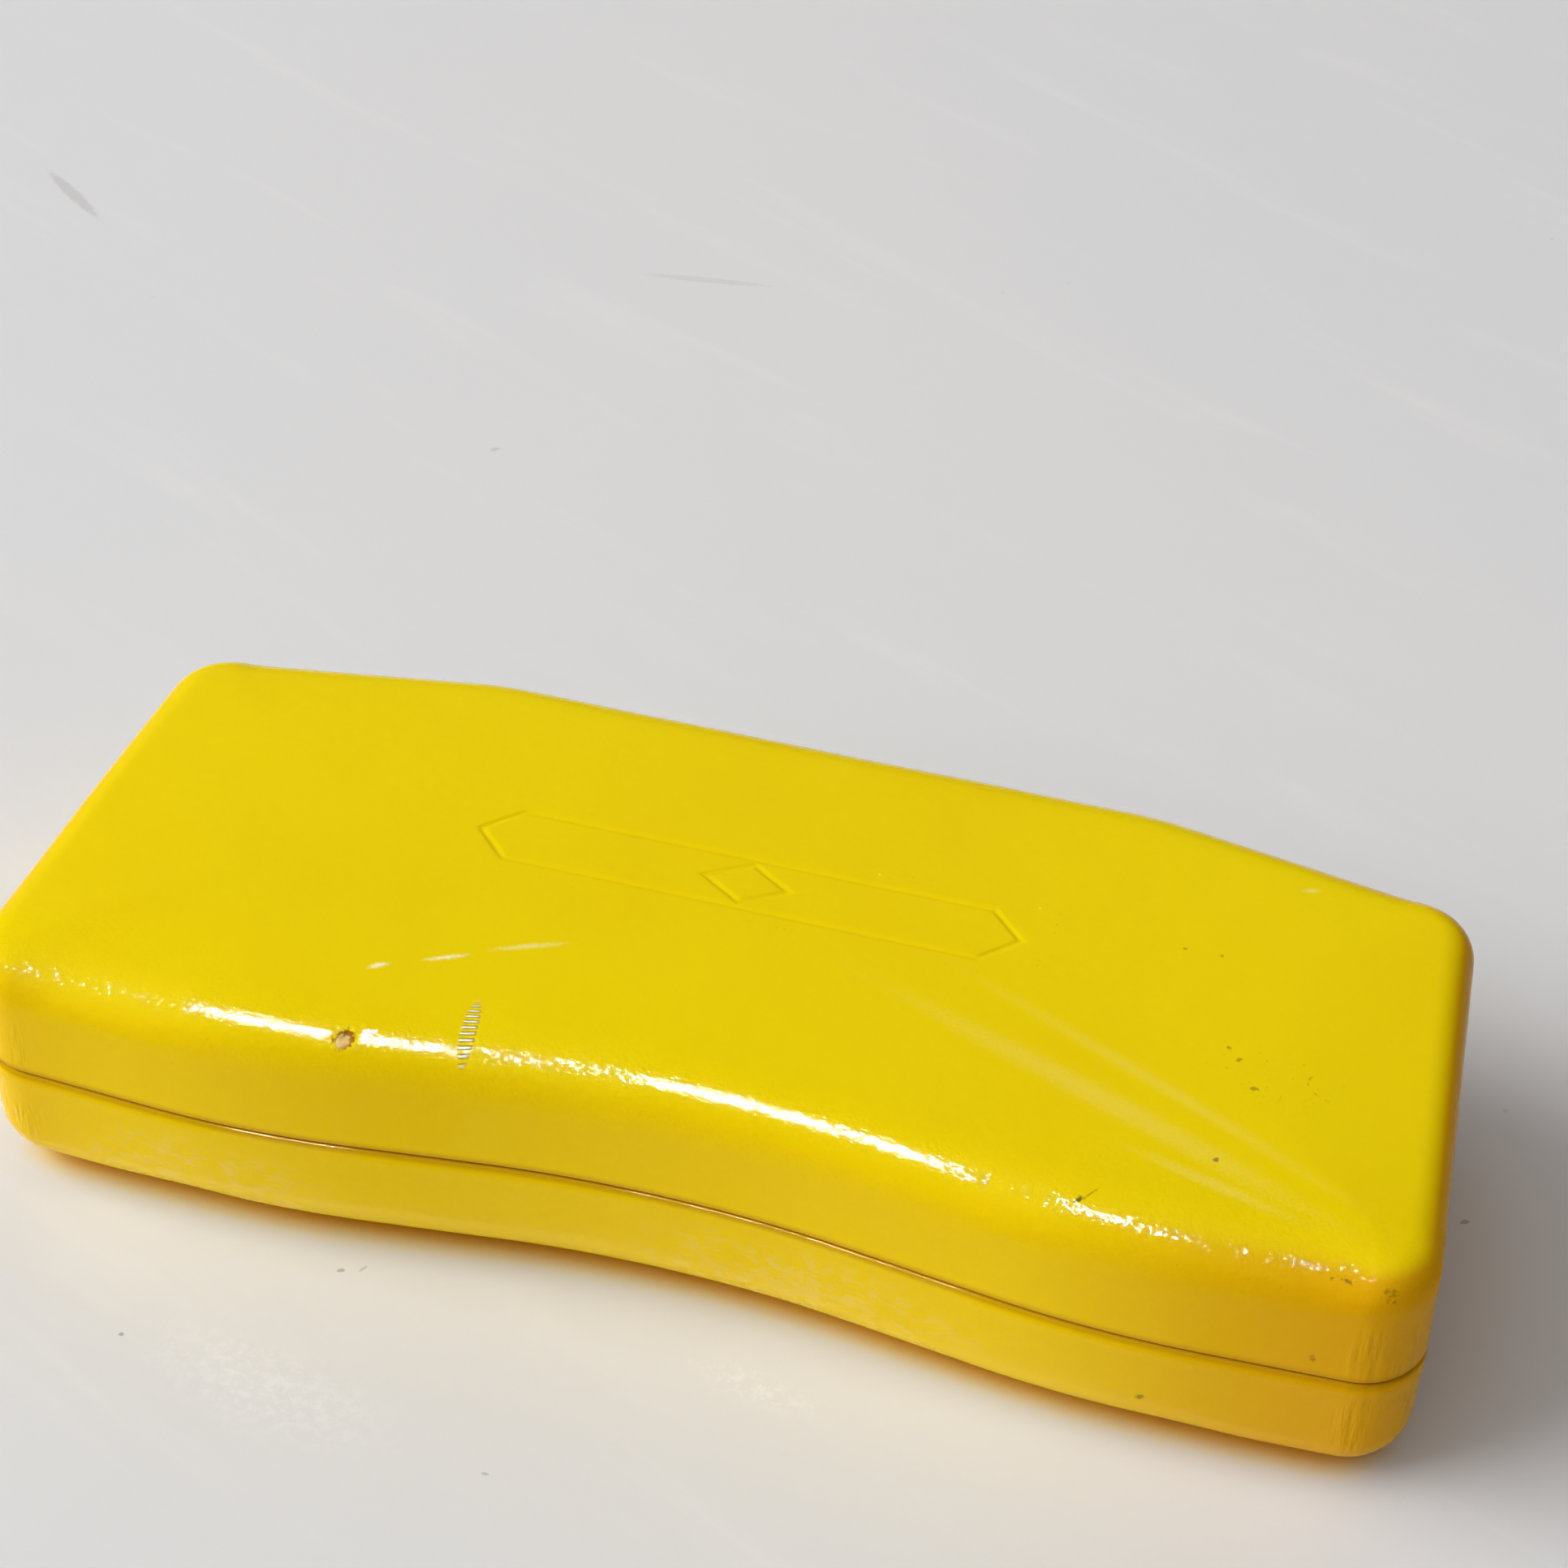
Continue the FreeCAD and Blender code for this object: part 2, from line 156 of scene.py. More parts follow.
class Loft:
    """Collects rings of one outline, and caps, into one mesh."""

    def __init__(self, outline, along, across):
        self.along, self.across = along, across
        self.points, self.outward = outline.ring(along, across)
        self.count = 2 * (along + across)
        self.verts, self.faces = [], []
        self.outer = []

    def ring(self, inset, height, outer=0.0, stride=1):
        """One ring of vertices, inset from the outline, at a height. Returns their indices."""
        inset = np.broadcast_to(inset, self.count)[::stride]
        height = np.broadcast_to(height, self.count)[::stride]
        flat = self.points[::stride] - inset[:, None] * self.outward[::stride]
        first = len(self.verts)
        self.verts.extend(map(tuple, np.column_stack([flat, height])))
        self.outer.extend([outer] * len(flat))
        return list(range(first, first + len(flat)))

    def join(self, lower, upper):
        n = len(lower)
        self.faces.extend((lower[i], lower[(i + 1) % n], upper[(i + 1) % n], upper[i]) for i in range(n))

    def join_coarser(self, fine, coarse, stride):
        n = len(fine)
        for i, corner in enumerate(coarse):
            run = [fine[(i * stride + k) % n] for k in range(stride + 1)]
            self.faces.append((*run, coarse[(i + 1) % len(coarse)], corner))

    def cap(self, ring, stride=1, outer=0.0):
        """Close a ring with a grid that follows its four sides."""
        nu, nv, n = self.along // stride, self.across // stride, len(ring)
        grid = np.zeros((nu + 1, nv + 1), int)
        for u in range(nu + 1):
            grid[u, 0], grid[u, nv] = ring[u], ring[(2 * nu + nv - u) % n]
        for v in range(nv + 1):
            grid[nu, v], grid[0, v] = ring[nu + v], ring[(n - v) % n]
        corner = {(a, b): np.array(self.verts[grid[a * nu, b * nv]]) for a in (0, 1) for b in (0, 1)}

        def at(u, v):
            return np.array(self.verts[grid[u, v]])

        for u in range(1, nu):
            for v in range(1, nv):
                a, b = u / nu, v / nv
                sides = (1 - b) * at(u, 0) + b * at(u, nv) + (1 - a) * at(0, v) + a * at(nu, v)
                corners = ((1 - a) * (1 - b) * corner[0, 0] + a * (1 - b) * corner[1, 0]
                           + (1 - a) * b * corner[0, 1] + a * b * corner[1, 1])
                grid[u, v] = len(self.verts)
                self.verts.append(tuple(sides - corners))
                self.outer.append(outer)
        for u in range(nu):
            for v in range(nv):
                self.faces.append((grid[u, v], grid[u + 1, v], grid[u + 1, v + 1], grid[u, v + 1]))

    def mesh(self, name):
        mesh = bpy.data.meshes.new(name)
        mesh.from_pydata(self.verts, [], self.faces)
        return mesh


OUTLINE = Outline()
OUTLINE_TREE = kdtree.KDTree(len(OUTLINE.points))
for index, (x, y) in enumerate(OUTLINE.points):
    OUTLINE_TREE.insert((x, y, 0), index)
OUTLINE_TREE.balance()


def from_outline(x, y):
    """Distance of a point from the outline."""
    return OUTLINE_TREE.find((x, y, 0))[2]


def step(edge0, edge1, value):
    """Smooth step between two values, rising or falling."""
    t = min(1.0, max(0.0, (value - edge0) / (edge1 - edge0)))
    return t * t * (3 - 2 * t)


def drawn_in(half, place):
    """Height to add at a place of one half: the cap, and all under it, is drawn in towards its edge."""
    edge_fall, corner_fall, reach = CROWN[half]
    corner = min(math.hypot(place.x - ARCS[i][0], place.y - ARCS[i][1]) for i in CORNER_ARCS[:2])
    amount = edge_fall + corner_fall * step(32 * MM, 4 * MM, corner)
    share = (place.z - CAP_Z[half]) / (RIM_Z[half] - CAP_Z[half])
    amount *= max(0.0, 1 - from_outline(place.x, place.y) / reach) ** 2 * max(0.0, 1 - share) ** 2
    return math.copysign(amount, RIM_Z[half] - CAP_Z[half])


def roll(steps, ease):
    """Profile of a rounded edge as (outward, down) from 0 to 1. Ease starts and ends it gently."""
    fine = 64
    s = np.linspace(0, 1, fine * steps + 1)
    angle = ((1 - ease) * s + ease * s * s * (3 - 2 * s)) * math.pi / 2
    outward, down = (np.concatenate([[0], np.cumsum((f(angle[1:]) + f(angle[:-1])) / 2)])
                     for f in (np.cos, np.sin))
    return [(outward[i] / outward[-1], down[i] / down[-1]) for i in range(0, len(s), fine)]


def edge_rounding(points, edge, end_edge):
    """Radius of an edge's rounding at each ring point: less round tight corners and at the ends."""
    corners = np.array([ARCS[i][:2] for i in CORNER_ARCS])
    away = np.min(np.linalg.norm(points[:, None] - corners[None], axis=2), axis=1)
    t = np.clip((away - 9 * MM) / (14 * MM), 0, 1)
    small = min(edge, CORNER_EDGE)
    radius = small + (edge - small) * t * t * (3 - 2 * t)
    t = np.clip((np.abs(points[:, 0]) - 72 * MM) / (11 * MM), 0, 1)
    return radius + np.minimum(end_edge - radius, 0.0) * t * t * (3 - 2 * t)


def finish_piece(mesh, name, material, body, replaced=()):
    """Object from a mesh, with outward normals and smooth shading, riding on a body."""
    shape = bmesh.new()
    shape.from_mesh(mesh)
    bmesh.ops.remove_doubles(shape, verts=shape.verts, dist=1e-6)
    bmesh.ops.recalc_face_normals(shape, faces=shape.faces)
    shape.to_mesh(mesh)
    shape.free()
    mesh.shade_smooth()
    piece = bpy.data.objects.new(name, mesh)
    bpy.context.scene.collection.objects.link(piece)
    mesh.materials.append(material)
    if replaced:
        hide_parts(*replaced)
    if body:
        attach(piece, body)
    return piece


# Node graphs ----------------------------------------

class Graph:
    """A material's node tree, with short ways to add and link its nodes."""

    def __init__(self, name):
        self.material = bpy.data.materials.new(name)
        self.material.use_nodes = True
        self.tree = self.material.node_tree
        self.shader = self.tree.nodes["Principled BSDF"]
        self.place = self.node("ShaderNodeTexCoord").outputs["Object"]

    def node(self, kind, inputs=None, **settings):
        node = self.tree.nodes.new(kind)
        for key, setting in settings.items():
            setattr(node, key, setting)
        for key, value in (inputs or {}).items():
            if isinstance(value, bpy.types.NodeSocket):
                self.tree.links.new(value, node.inputs[key])
            else:
                node.inputs[key].default_value = value
        return node

    def math(self, operation, first, second=0.0):
        return self.node("ShaderNodeMath", {0: first, 1: second}, operation=operation).outputs[0]

    def times(self, first, second):
        return self.math("MULTIPLY", first, second)

    def length(self, vector):
        return self.node("ShaderNodeVectorMath", {0: vector}, operation="LENGTH").outputs["Value"]

    def axes(self, vector=None):
        """The X, Y and Z of the place, or of another vector."""
        return self.node("ShaderNodeSeparateXYZ", {0: vector or self.place}).outputs

    def scaled(self, scale):
        """The place multiplied by a scale along each axis."""
        return self.node("ShaderNodeMapping", {"Vector": self.place, "Scale": scale}).outputs["Vector"]

    def noise(self, scale, detail=2.0, roughness=0.5, distortion=0.0, place=None):
        inputs = {"Vector": place or self.place, "Scale": scale, "Detail": detail,
                  "Roughness": roughness, "Distortion": distortion}
        return self.node("ShaderNodeTexNoise", inputs).outputs["Fac"]

    def ramp(self, value, low, high, to_low=0.0, to_high=1.0):
        inputs = {"Value": value, "From Min": low, "From Max": high, "To Min": to_low, "To Max": to_high}
        return self.node("ShaderNodeMapRange", inputs, interpolation_type="SMOOTHSTEP").outputs["Result"]

    def mix(self, share, first, second):
        node = self.node("ShaderNodeMix", {"Factor": share}, data_type="RGBA")
        for key, value in ((6, first), (7, second)):
            if isinstance(value, bpy.types.NodeSocket):
                self.tree.links.new(value, node.inputs[key])
            else:
                node.inputs[key].default_value = (*value, 1.0)
        return node.outputs[2]

    def moved(self, location=(0, 0, 0), turn=0.0, scale=(1, 1, 1), place=None):
        """The place as seen from a mark at a location, turned about Z and divided by a size."""
        inputs = {"Vector": place or self.place, "Location": location,
                  "Rotation": (0, 0, turn), "Scale": scale}
        return self.node("ShaderNodeMapping", inputs, vector_type="TEXTURE").outputs["Vector"]

    def bump(self, height, distance, below=None, strength=1.0):
        inputs = {"Height": height, "Distance": distance, "Strength": strength}
        if below is not None:
            inputs["Normal"] = below
        return self.node("ShaderNodeBump", inputs).outputs["Normal"]

    def set(self, **sockets):
        for key, value in sockets.items():
            name = key.replace("_", " ")
            if isinstance(value, bpy.types.NodeSocket):
                self.tree.links.new(value, self.shader.inputs[name])
            else:
                self.shader.inputs[name].default_value = value
        return self.material


def linear(red, green, blue):
    """A display colour from 0 to 255 as linear light."""
    scaled = (channel / 255 for channel in (red, green, blue))
    return tuple(c / 12.92 if c <= 0.04045 else ((c + 0.055) / 1.055) ** 2.4 for c in scaled)


YELLOW = (0.82, 0.615, 0.0)
DEEP_YELLOW = (0.79, 0.55, 0.0)
# Painted shade of the walls.
WALL_SHADE_YELLOW = (0.81, 0.545, 0.0)
# Painted shade of the ends' rounded edges.
END_SHADE_YELLOW = (0.68, 0.33, 0.0)
BACKING = linear(226, 192, 124)
RUST = linear(150, 92, 6)
GRIME = linear(84, 62, 10)
SEAM_ORANGE = (0.50, 0.24, 0.0)
FLAKE_WHITE = linear(250, 246, 232)
PAINTED_CREASE_GLINT = linear(255, 252, 235)
PAINTED_GLINT_WHITE = linear(255, 250, 205)
HAZE = linear(236, 206, 96)
CHIP = (-0.0376, -0.0331, 0.0344)       # middle of the chip's rusty rim
HOLLOW = (-0.0374, -0.0331, 0.0344)     # middle of the hollow under it
BRUISE = (-0.0243, -0.0285)             # middle of the dent across the row of creases

# Marks of use: place, half length and half width in metres, turn about Z in degrees, strength.
SPECKS = [
    ((0.0464, -0.0328, 0.0353), 0.0006, 0.0003, 60, 0.9),
    ((0.0476, -0.0318, 0.0354), 0.0011, 0.00012, 50, 0.5),
    ((0.0594, -0.0236, 0.0356), 0.0004, 0.0003, 40, 0.7),
    ((0.0756, -0.0341, 0.0346), 0.0007, 0.0003, -10, 0.7),
    ((0.0741, -0.0341, 0.0346), 0.0003, 0.0002, 0, 0.5),
    ((0.0805, -0.0343, 0.0340), 0.0012, 0.0005, 15, 0.45),
    ((0.0739, -0.0362, 0.0214), 0.0006, 0.0003, -35, 0.6),
    ((0.0565, -0.0368, 0.0091), 0.0013, 0.0003, -25, 0.6),
    ((0.0576, -0.0068, 0.0357), 0.0003, 0.0003, 0, 0.5),
    ((0.0590, -0.0083, 0.0357), 0.0004, 0.0003, 30, 0.5),
    ((0.0614, -0.0122, 0.0357), 0.0005, 0.0004, 20, 0.5),
    ((0.0498, 0.0074, 0.0357), 0.0003, 0.0002, 0, 0.5),
    ((0.0540, 0.0075, 0.0357), 0.0003, 0.0002, 0, 0.5),
]

# Dents and painted glints and reflections: place, half length, half width, turn in degrees, whiteness
# and depth. The whiteness is painted light: glints on the short marks, and reflections in the three long
# faint bands, which have no depth.
DENTS_AND_PAINTED_GLINTS = [
    ((-0.0376, -0.0225, 0.0357), 0.0014, 0.00050, 30, 0.90, 0.00008),
    ((-0.0306, -0.0190, 0.0357), 0.0028, 0.00045, 26, 0.70, 0.00007),
    ((-0.0220, -0.0145, 0.0357), 0.0050, 0.00055, 24, 0.28, 0.00003),
    ((0.0470, -0.0190, 0.0357), 0.0330, 0.00200, -20, 0.065, 0.0),
    ((0.0520, -0.0150, 0.0357), 0.0300, 0.00120, -24, 0.045, 0.0),
    ((0.0600, -0.0270, 0.0357), 0.0120, 0.00100, -13, 0.08, 0.0),
    ((0.0620, 0.0220, 0.0357), 0.0013, 0.00050, 20, 0.25, 0.00006),
    ((0.0694, -0.0366, 0.0335), 0.0004, 0.00035, 0, 0.85, 0.0),
    ((0.0672, -0.0340, 0.0345), 0.0003, 0.00025, 0, 0.60, 0.0),
]

# Where the base's front wall has pale hazy patches: place and half length.
PALE_PATCHES = [
    ((-0.0560, -0.0360, 0.0080), 0.020),
    ((0.0170, -0.0320, 0.0090), 0.026),
]

# Strokes and specks on the table, listed as the specks above.
TABLE_MARKS = [
    ((-0.1720, 0.1715, 0), 0.0090, 0.0011, -38, 0.22),
    ((-0.0617, 0.1789, 0), 0.0100, 0.0008, 8, 0.12),
    ((-0.0384, -0.0382, 0), 0.0005, 0.0003, 20, 0.5),
    ((-0.0360, -0.0372, 0), 0.0006, 0.0002, 60, 0.3),
    ((-0.0588, -0.0546, 0), 0.0003, 0.0003, 0, 0.6),
    ((0.0869, 0.0086, 0), 0.0006, 0.0004, 30, 0.5),
    ((0.0560, -0.0560, 0), 0.0004, 0.0003, 0, 0.4),
    ((-0.0120, -0.0610, 0), 0.0004, 0.0002, 0, 0.4),
]
# Painted highlights on the table, soft blotchy reflections of a lamp: place, half length and half width.
TABLE_PAINTED_HIGHLIGHTS = [
    ((-0.0400, -0.0570, 0), 0.018, 0.007),
    ((0.0128, -0.0405, 0), 0.010, 0.003),
]


def patent_skin(name, dress=None):
    """High-gloss coated leatherette: rippled coat, uneven colour, painted shade on the walls and ends,
    and smudges.
    """
    g = Graph(name)
    broad = g.noise(22, 2)
    colour = g.mix(g.ramp(broad, 0.3, 0.7, 0.0, 0.5), YELLOW, DEEP_YELLOW)
    mottle = g.noise(900, 2)
    colour = g.mix(g.times(mottle, 0.10), colour, DEEP_YELLOW)
    # Painted shade: the walls are painted a deeper, more orange yellow than the top, for the less light
    # they get.
    upright = g.axes(g.node("ShaderNodeTexCoord").outputs["Normal"])["Z"]
    wall_shade = g.ramp(g.math("ABSOLUTE", upright), 0.85, 0.25)
    colour = g.mix(g.times(wall_shade, 0.8), colour, WALL_SHADE_YELLOW)
    at = g.axes()
    # Painted shade: towards both ends, much more on the right end away from the lamps, the rounded edge
    # is painted a deeper orange.
    drawn = g.math("MAXIMUM", g.ramp(at["X"], 0.036, 0.085, 0.0, 0.92),
                   g.ramp(at["X"], -0.066, -0.085, 0.0, 0.35))
    rounded = g.ramp(g.math("ABSOLUTE", upright), 0.99, 0.75)
    colour = g.mix(g.times(drawn, rounded), colour, END_SHADE_YELLOW)
    smudge = g.ramp(g.noise(48, 4, 0.6, 0.6), 0.50, 0.75)
    wiped = g.noise(1.0, 3, 0.6, place=g.moved((0, 0, 0), math.radians(-22), (0.035, 0.004, 0.02)))
    smudge = g.math("ADD", smudge, g.ramp(wiped, 0.55, 0.80))
    roughness = g.math("ADD", 0.16, g.times(smudge, 0.10))
    coat = g.math("SUBTRACT", 0.105, g.times(smudge, 0.03))
    normal = g.bump(g.noise(130, 1.0, 0.4), 0.00010)
    normal = g.bump(g.noise(640, 1.0, 0.4), 0.000045, normal)
    normal = g.bump(g.noise(2200, 2.0, 0.5), 0.000010, normal)
    look = {"colour": colour, "roughness": roughness, "coat": coat, "normal": normal}
    if dress:
        dress(g, look)
    return g.set(Base_Color=look["colour"], Roughness=look["roughness"], Normal=look["normal"],
                 Specular_IOR_Level=0.02, Specular_Tint=(1.0, 0.85, 0.25, 1.0), Coat_Weight=look["coat"],
                 Coat_Roughness=0.035, Coat_Normal=look["normal"], Coat_IOR=1.5)


def spot(g, centre, half_length, half_width, turn=0.0, ragged=0.5, core=0.75):
    """Mask of a small mark with a ragged edge, full inside its core. On top it reaches down the edge."""
    half_depth = 3 * MM if centre[2] > LID_BOX[1].z - 5 * MM else 3 * half_width
    near = g.moved(centre, math.radians(turn), (half_length, half_width, half_depth))
    away = g.length(near)
    away = g.math("ADD", away, g.times(g.math("SUBTRACT", g.noise(2500, 2), 0.5), 2 * ragged))
    return g.ramp(away, 1.15, core)


def stretch(g, along, start, end, soft=0.003):
    """Mask of a stretch of a coordinate, with soft ends."""
    return g.times(g.ramp(along, start - soft, start + soft),
                   g.ramp(along, end + soft, end - soft))


def dulled(g, look, share):
    """Take the coat's shine away by a share."""
    look["coat"] = g.times(look["coat"], g.math("SUBTRACT", 1.0, share))
    look["roughness"] = g.math("ADD", look["roughness"], g.times(share, 0.5))


def grubby(g, look):
    """A dark orange band along the seam, creased front corners, dark specks and a cloud of faint dots.
    """
    at = g.axes()
    # Dark orange band along the seam.
    seam = g.ramp(g.math("ABSOLUTE", g.math("SUBTRACT", at["Z"], AXIS_Z)), 0.0014, 0.0003)
    look["colour"] = g.mix(g.times(seam, 0.75), look["colour"], SEAM_ORANGE)
    corner = g.times(g.ramp(g.math("ABSOLUTE", at["X"]), 0.0755, 0.0795),
                     g.ramp(at["Y"], -0.019, -0.026))
    corner = g.times(corner, stretch(g, at["Z"], 0.0060, 0.0265, 0.002))
    upright = g.scaled((1150, 1150, 150))
    lively = g.ramp(g.noise(260, 2), 0.40, 0.62)
    creases = g.noise(1.0, 2, 0.6, place=upright)
    look["normal"] = g.bump(creases, 0.00045, look["normal"], g.times(corner, lively))
    for centre, half_length, half_width, turn, strength in SPECKS:
        share = g.times(spot(g, centre, half_length, half_width, turn, 1.1, 0.45), strength)
        look["colour"] = g.mix(share, look["colour"], GRIME)
    cloud = g.moved((0.0635, -0.0095, 0.0357), math.radians(-20), (0.010, 0.005, 0.004))
    near = g.ramp(g.length(cloud), 1.1, 0.3)
    dots = g.times(near, g.ramp(g.noise(950, 3, 0.75), 0.60, 0.70))
    look["colour"] = g.mix(g.times(dots, 0.40), look["colour"], GRIME)
    scattered = g.ramp(g.noise(420, 1, 0.5), 0.82, 0.85)
    look["colour"] = g.mix(g.times(scattered, 0.4), look["colour"], GRIME)


def lid_marks(g, look):
    """The lid's worn gleaming front edge, its chip, creases and dents with painted highlights, and long
    painted reflections.
    """
    grubby(g, look)
    # The front edge gleams on three stretches, and is worn dull with only dots of shine between them.
    at = g.axes()
    ragged = g.times(g.math("SUBTRACT", g.noise(210, 3), 0.5), 0.010)
    edge = g.times(g.ramp(g.math("ADD", at["Y"], ragged), -0.0225, -0.0290),
                  g.ramp(at["Z"], 0.0270, 0.0310))
    whole = g.math("MAXIMUM", stretch(g, at["X"], -0.0550, -0.0245, 0.005),
                   stretch(g, at["X"], -0.0050, 0.0330, 0.005))
    whole = g.math("MAXIMUM", whole, g.times(stretch(g, at["X"], 0.0440, 0.0550), 0.55))
    dotted = g.times(stretch(g, at["X"], -0.0260, -0.0060), 0.30)
    whole = g.math("MAXIMUM", whole, dotted)
    grain = g.noise(1500, 2, 0.7)
    gleam = g.ramp(g.math("ADD", grain, g.times(whole, 0.28)), 0.57, 0.65)
    dulled(g, look, g.times(edge, g.math("SUBTRACT", 1.0, gleam)))
    grit = g.noise(1900, 2, 0.6)
    look["normal"] = g.bump(grit, 0.00036, look["normal"], g.times(edge, 0.22))
    # Chip in the coat at the front edge, down to the backing.
    flake = spot(g, (-0.0350, -0.0318, 0.0347), 0.0009, 0.0004, 22, 0.9)
    look["colour"] = g.mix(flake, look["colour"], FLAKE_WHITE)
    rim = spot(g, CHIP, 0.0013, 0.0009, 30, 0.6)
    chip = spot(g, (-0.0377, -0.0333, 0.0343), 0.0010, 0.0006, 30, 0.5)
    look["colour"] = g.mix(rim, look["colour"], RUST)
    look["colour"] = g.mix(chip, look["colour"], BACKING)
    dulled(g, look, spot(g, CHIP, 0.0018, 0.0014, 30, 0.9))
    # Row of short creases across a bruise, their white a painted highlight of the lamp's glints on them.
    near = g.moved((-0.0243, -0.0288, 0.0350), math.radians(6), (0.0010, 0.0047, 0.0050))
    away = g.length(near)
    rows = g.node("ShaderNodeTexWave", {"Vector": g.moved((0, 0, 0), math.radians(14)), "Scale": 400.0,
                                        "Distortion": 1.2, "Detail": 2.0, "Detail Scale": 900.0},
                  wave_type="BANDS", bands_direction="Y").outputs["Fac"]
    crease = g.times(g.ramp(rows, 0.35, 0.85), g.ramp(away, 1.05, 0.6))
    look["colour"] = g.mix(g.times(crease, 0.85), look["colour"], PAINTED_CREASE_GLINT)
    look["normal"] = g.bump(crease, 0.00018, look["normal"])
    # Short dents and spots with painted glints, and long faint lighter bands that are painted
    # reflections.
    for centre, half_length, half_width, turn, white, depth in DENTS_AND_PAINTED_GLINTS:
        dent_and_glint = spot(g, centre, half_length, half_width, turn, 0.6, 0.0)
        look["colour"] = g.mix(g.times(dent_and_glint, white), look["colour"], PAINTED_GLINT_WHITE)
        look["normal"] = g.bump(dent_and_glint, depth, look["normal"])


def base_marks(g, look):
    """The base's dulled bead and pale hazy patches."""
    grubby(g, look)
    # The bead under the seam is dulled by handling except on two stretches.
    at = g.axes()
    bright = g.math("MAXIMUM", stretch(g, at["X"], -0.053, -0.037),
                    stretch(g, at["X"], -0.003, 0.034, 0.005))
    glint = g.times(bright, g.ramp(g.noise(1300, 2, 0.6), 0.36, 0.50))
    dulled(g, look, g.times(g.ramp(at["Z"], 0.0164, 0.0170), g.math("SUBTRACT", 1.0, glint)))
    # Pale hazy patches on the front wall, lighter and duller.
    for centre, half_length in PALE_PATCHES:
        near = g.moved(centre, 0.0, (half_length, 0.012, 0.0085))
        away = g.length(near)
        stretched = g.scaled((1.0, 1.0, 1.6))
        patchy = g.ramp(g.noise(360, 4, 0.68, 0.8, place=stretched), 0.46, 0.60)
        share = g.times(g.times(patchy, g.ramp(away, 1.05, 0.35)), 0.56)
        look["colour"] = g.mix(share, look["colour"], HAZE)
        dulled(g, look, share)


def flocking(name, colour):
    """Short dense pile: single fibres, small clumps and broad brushed patches."""
    g = Graph(name)
    patches = g.noise(45, 3, 0.6, 0.4)
    clumps = g.noise(520, 3, 0.7)
    fibres = g.noise(2400, 2, 0.8)
    dark, light = (tuple(c * k for c in colour) for k in (0.65, 1.4))
    tone = g.mix(g.ramp(patches, 0.35, 0.65), dark, light)
    tone = g.mix(g.ramp(clumps, 0.40, 0.70, 0.0, 0.5), tone, tuple(c * 2.0 for c in colour))
    tone = g.mix(g.ramp(fibres, 0.45, 0.75, 0.0, 0.6), tone, tuple(c * 2.6 for c in colour))
    tone = g.mix(g.ramp(fibres, 0.45, 0.30, 0.0, 0.6), tone, tuple(c * 0.3 for c in colour))
    lint = g.ramp(g.noise(900, 1, 0.5, 2.5), 0.80, 0.86)
    tone = g.mix(g.times(lint, 0.35), tone, (0.5, 0.5, 0.52))
    normal = g.bump(fibres, 0.00030, g.bump(clumps, 0.00025))
    return g.set(Base_Color=tone, Roughness=0.95, Normal=normal, Sheen_Weight=0.6, Sheen_Roughness=0.4,
                 Sheen_Tint=(0.8, 0.8, 0.85, 1.0), Specular_IOR_Level=0.15)


def steel(name, colour, roughness, grain_scale=(60, 2600, 2600), dull=0.12):
    """Metal with rolling or drawing lines along X, and dull patches."""
    g = Graph(name)
    stretched = g.scaled(grain_scale)
    lines = g.noise(1.0, 3, 0.6, place=stretched)
    patches = g.noise(180, 3, 0.6)
    tone = g.mix(g.ramp(patches, 0.35, 0.75), colour, tuple(c * (1 - dull * 2) for c in colour))
    rough = g.math("ADD", roughness, g.times(g.ramp(patches, 0.4, 0.8), dull))
    rough = g.math("ADD", rough, g.times(lines, 0.08))
    return g.set(Base_Color=tone, Metallic=1.0, Roughness=rough, Normal=g.bump(lines, 0.00002))


def foam_material(name):
    """Pale closed cells."""
    g = Graph(name)
    cells = g.node("ShaderNodeTexVoronoi", {"Vector": g.place, "Scale": 1400.0}).outputs["Distance"]
    tone = g.mix(g.ramp(cells, 0.1, 0.6), linear(232, 228, 214), linear(206, 200, 184))
    return g.set(Base_Color=tone, Roughness=0.9, Normal=g.bump(cells, 0.0001))


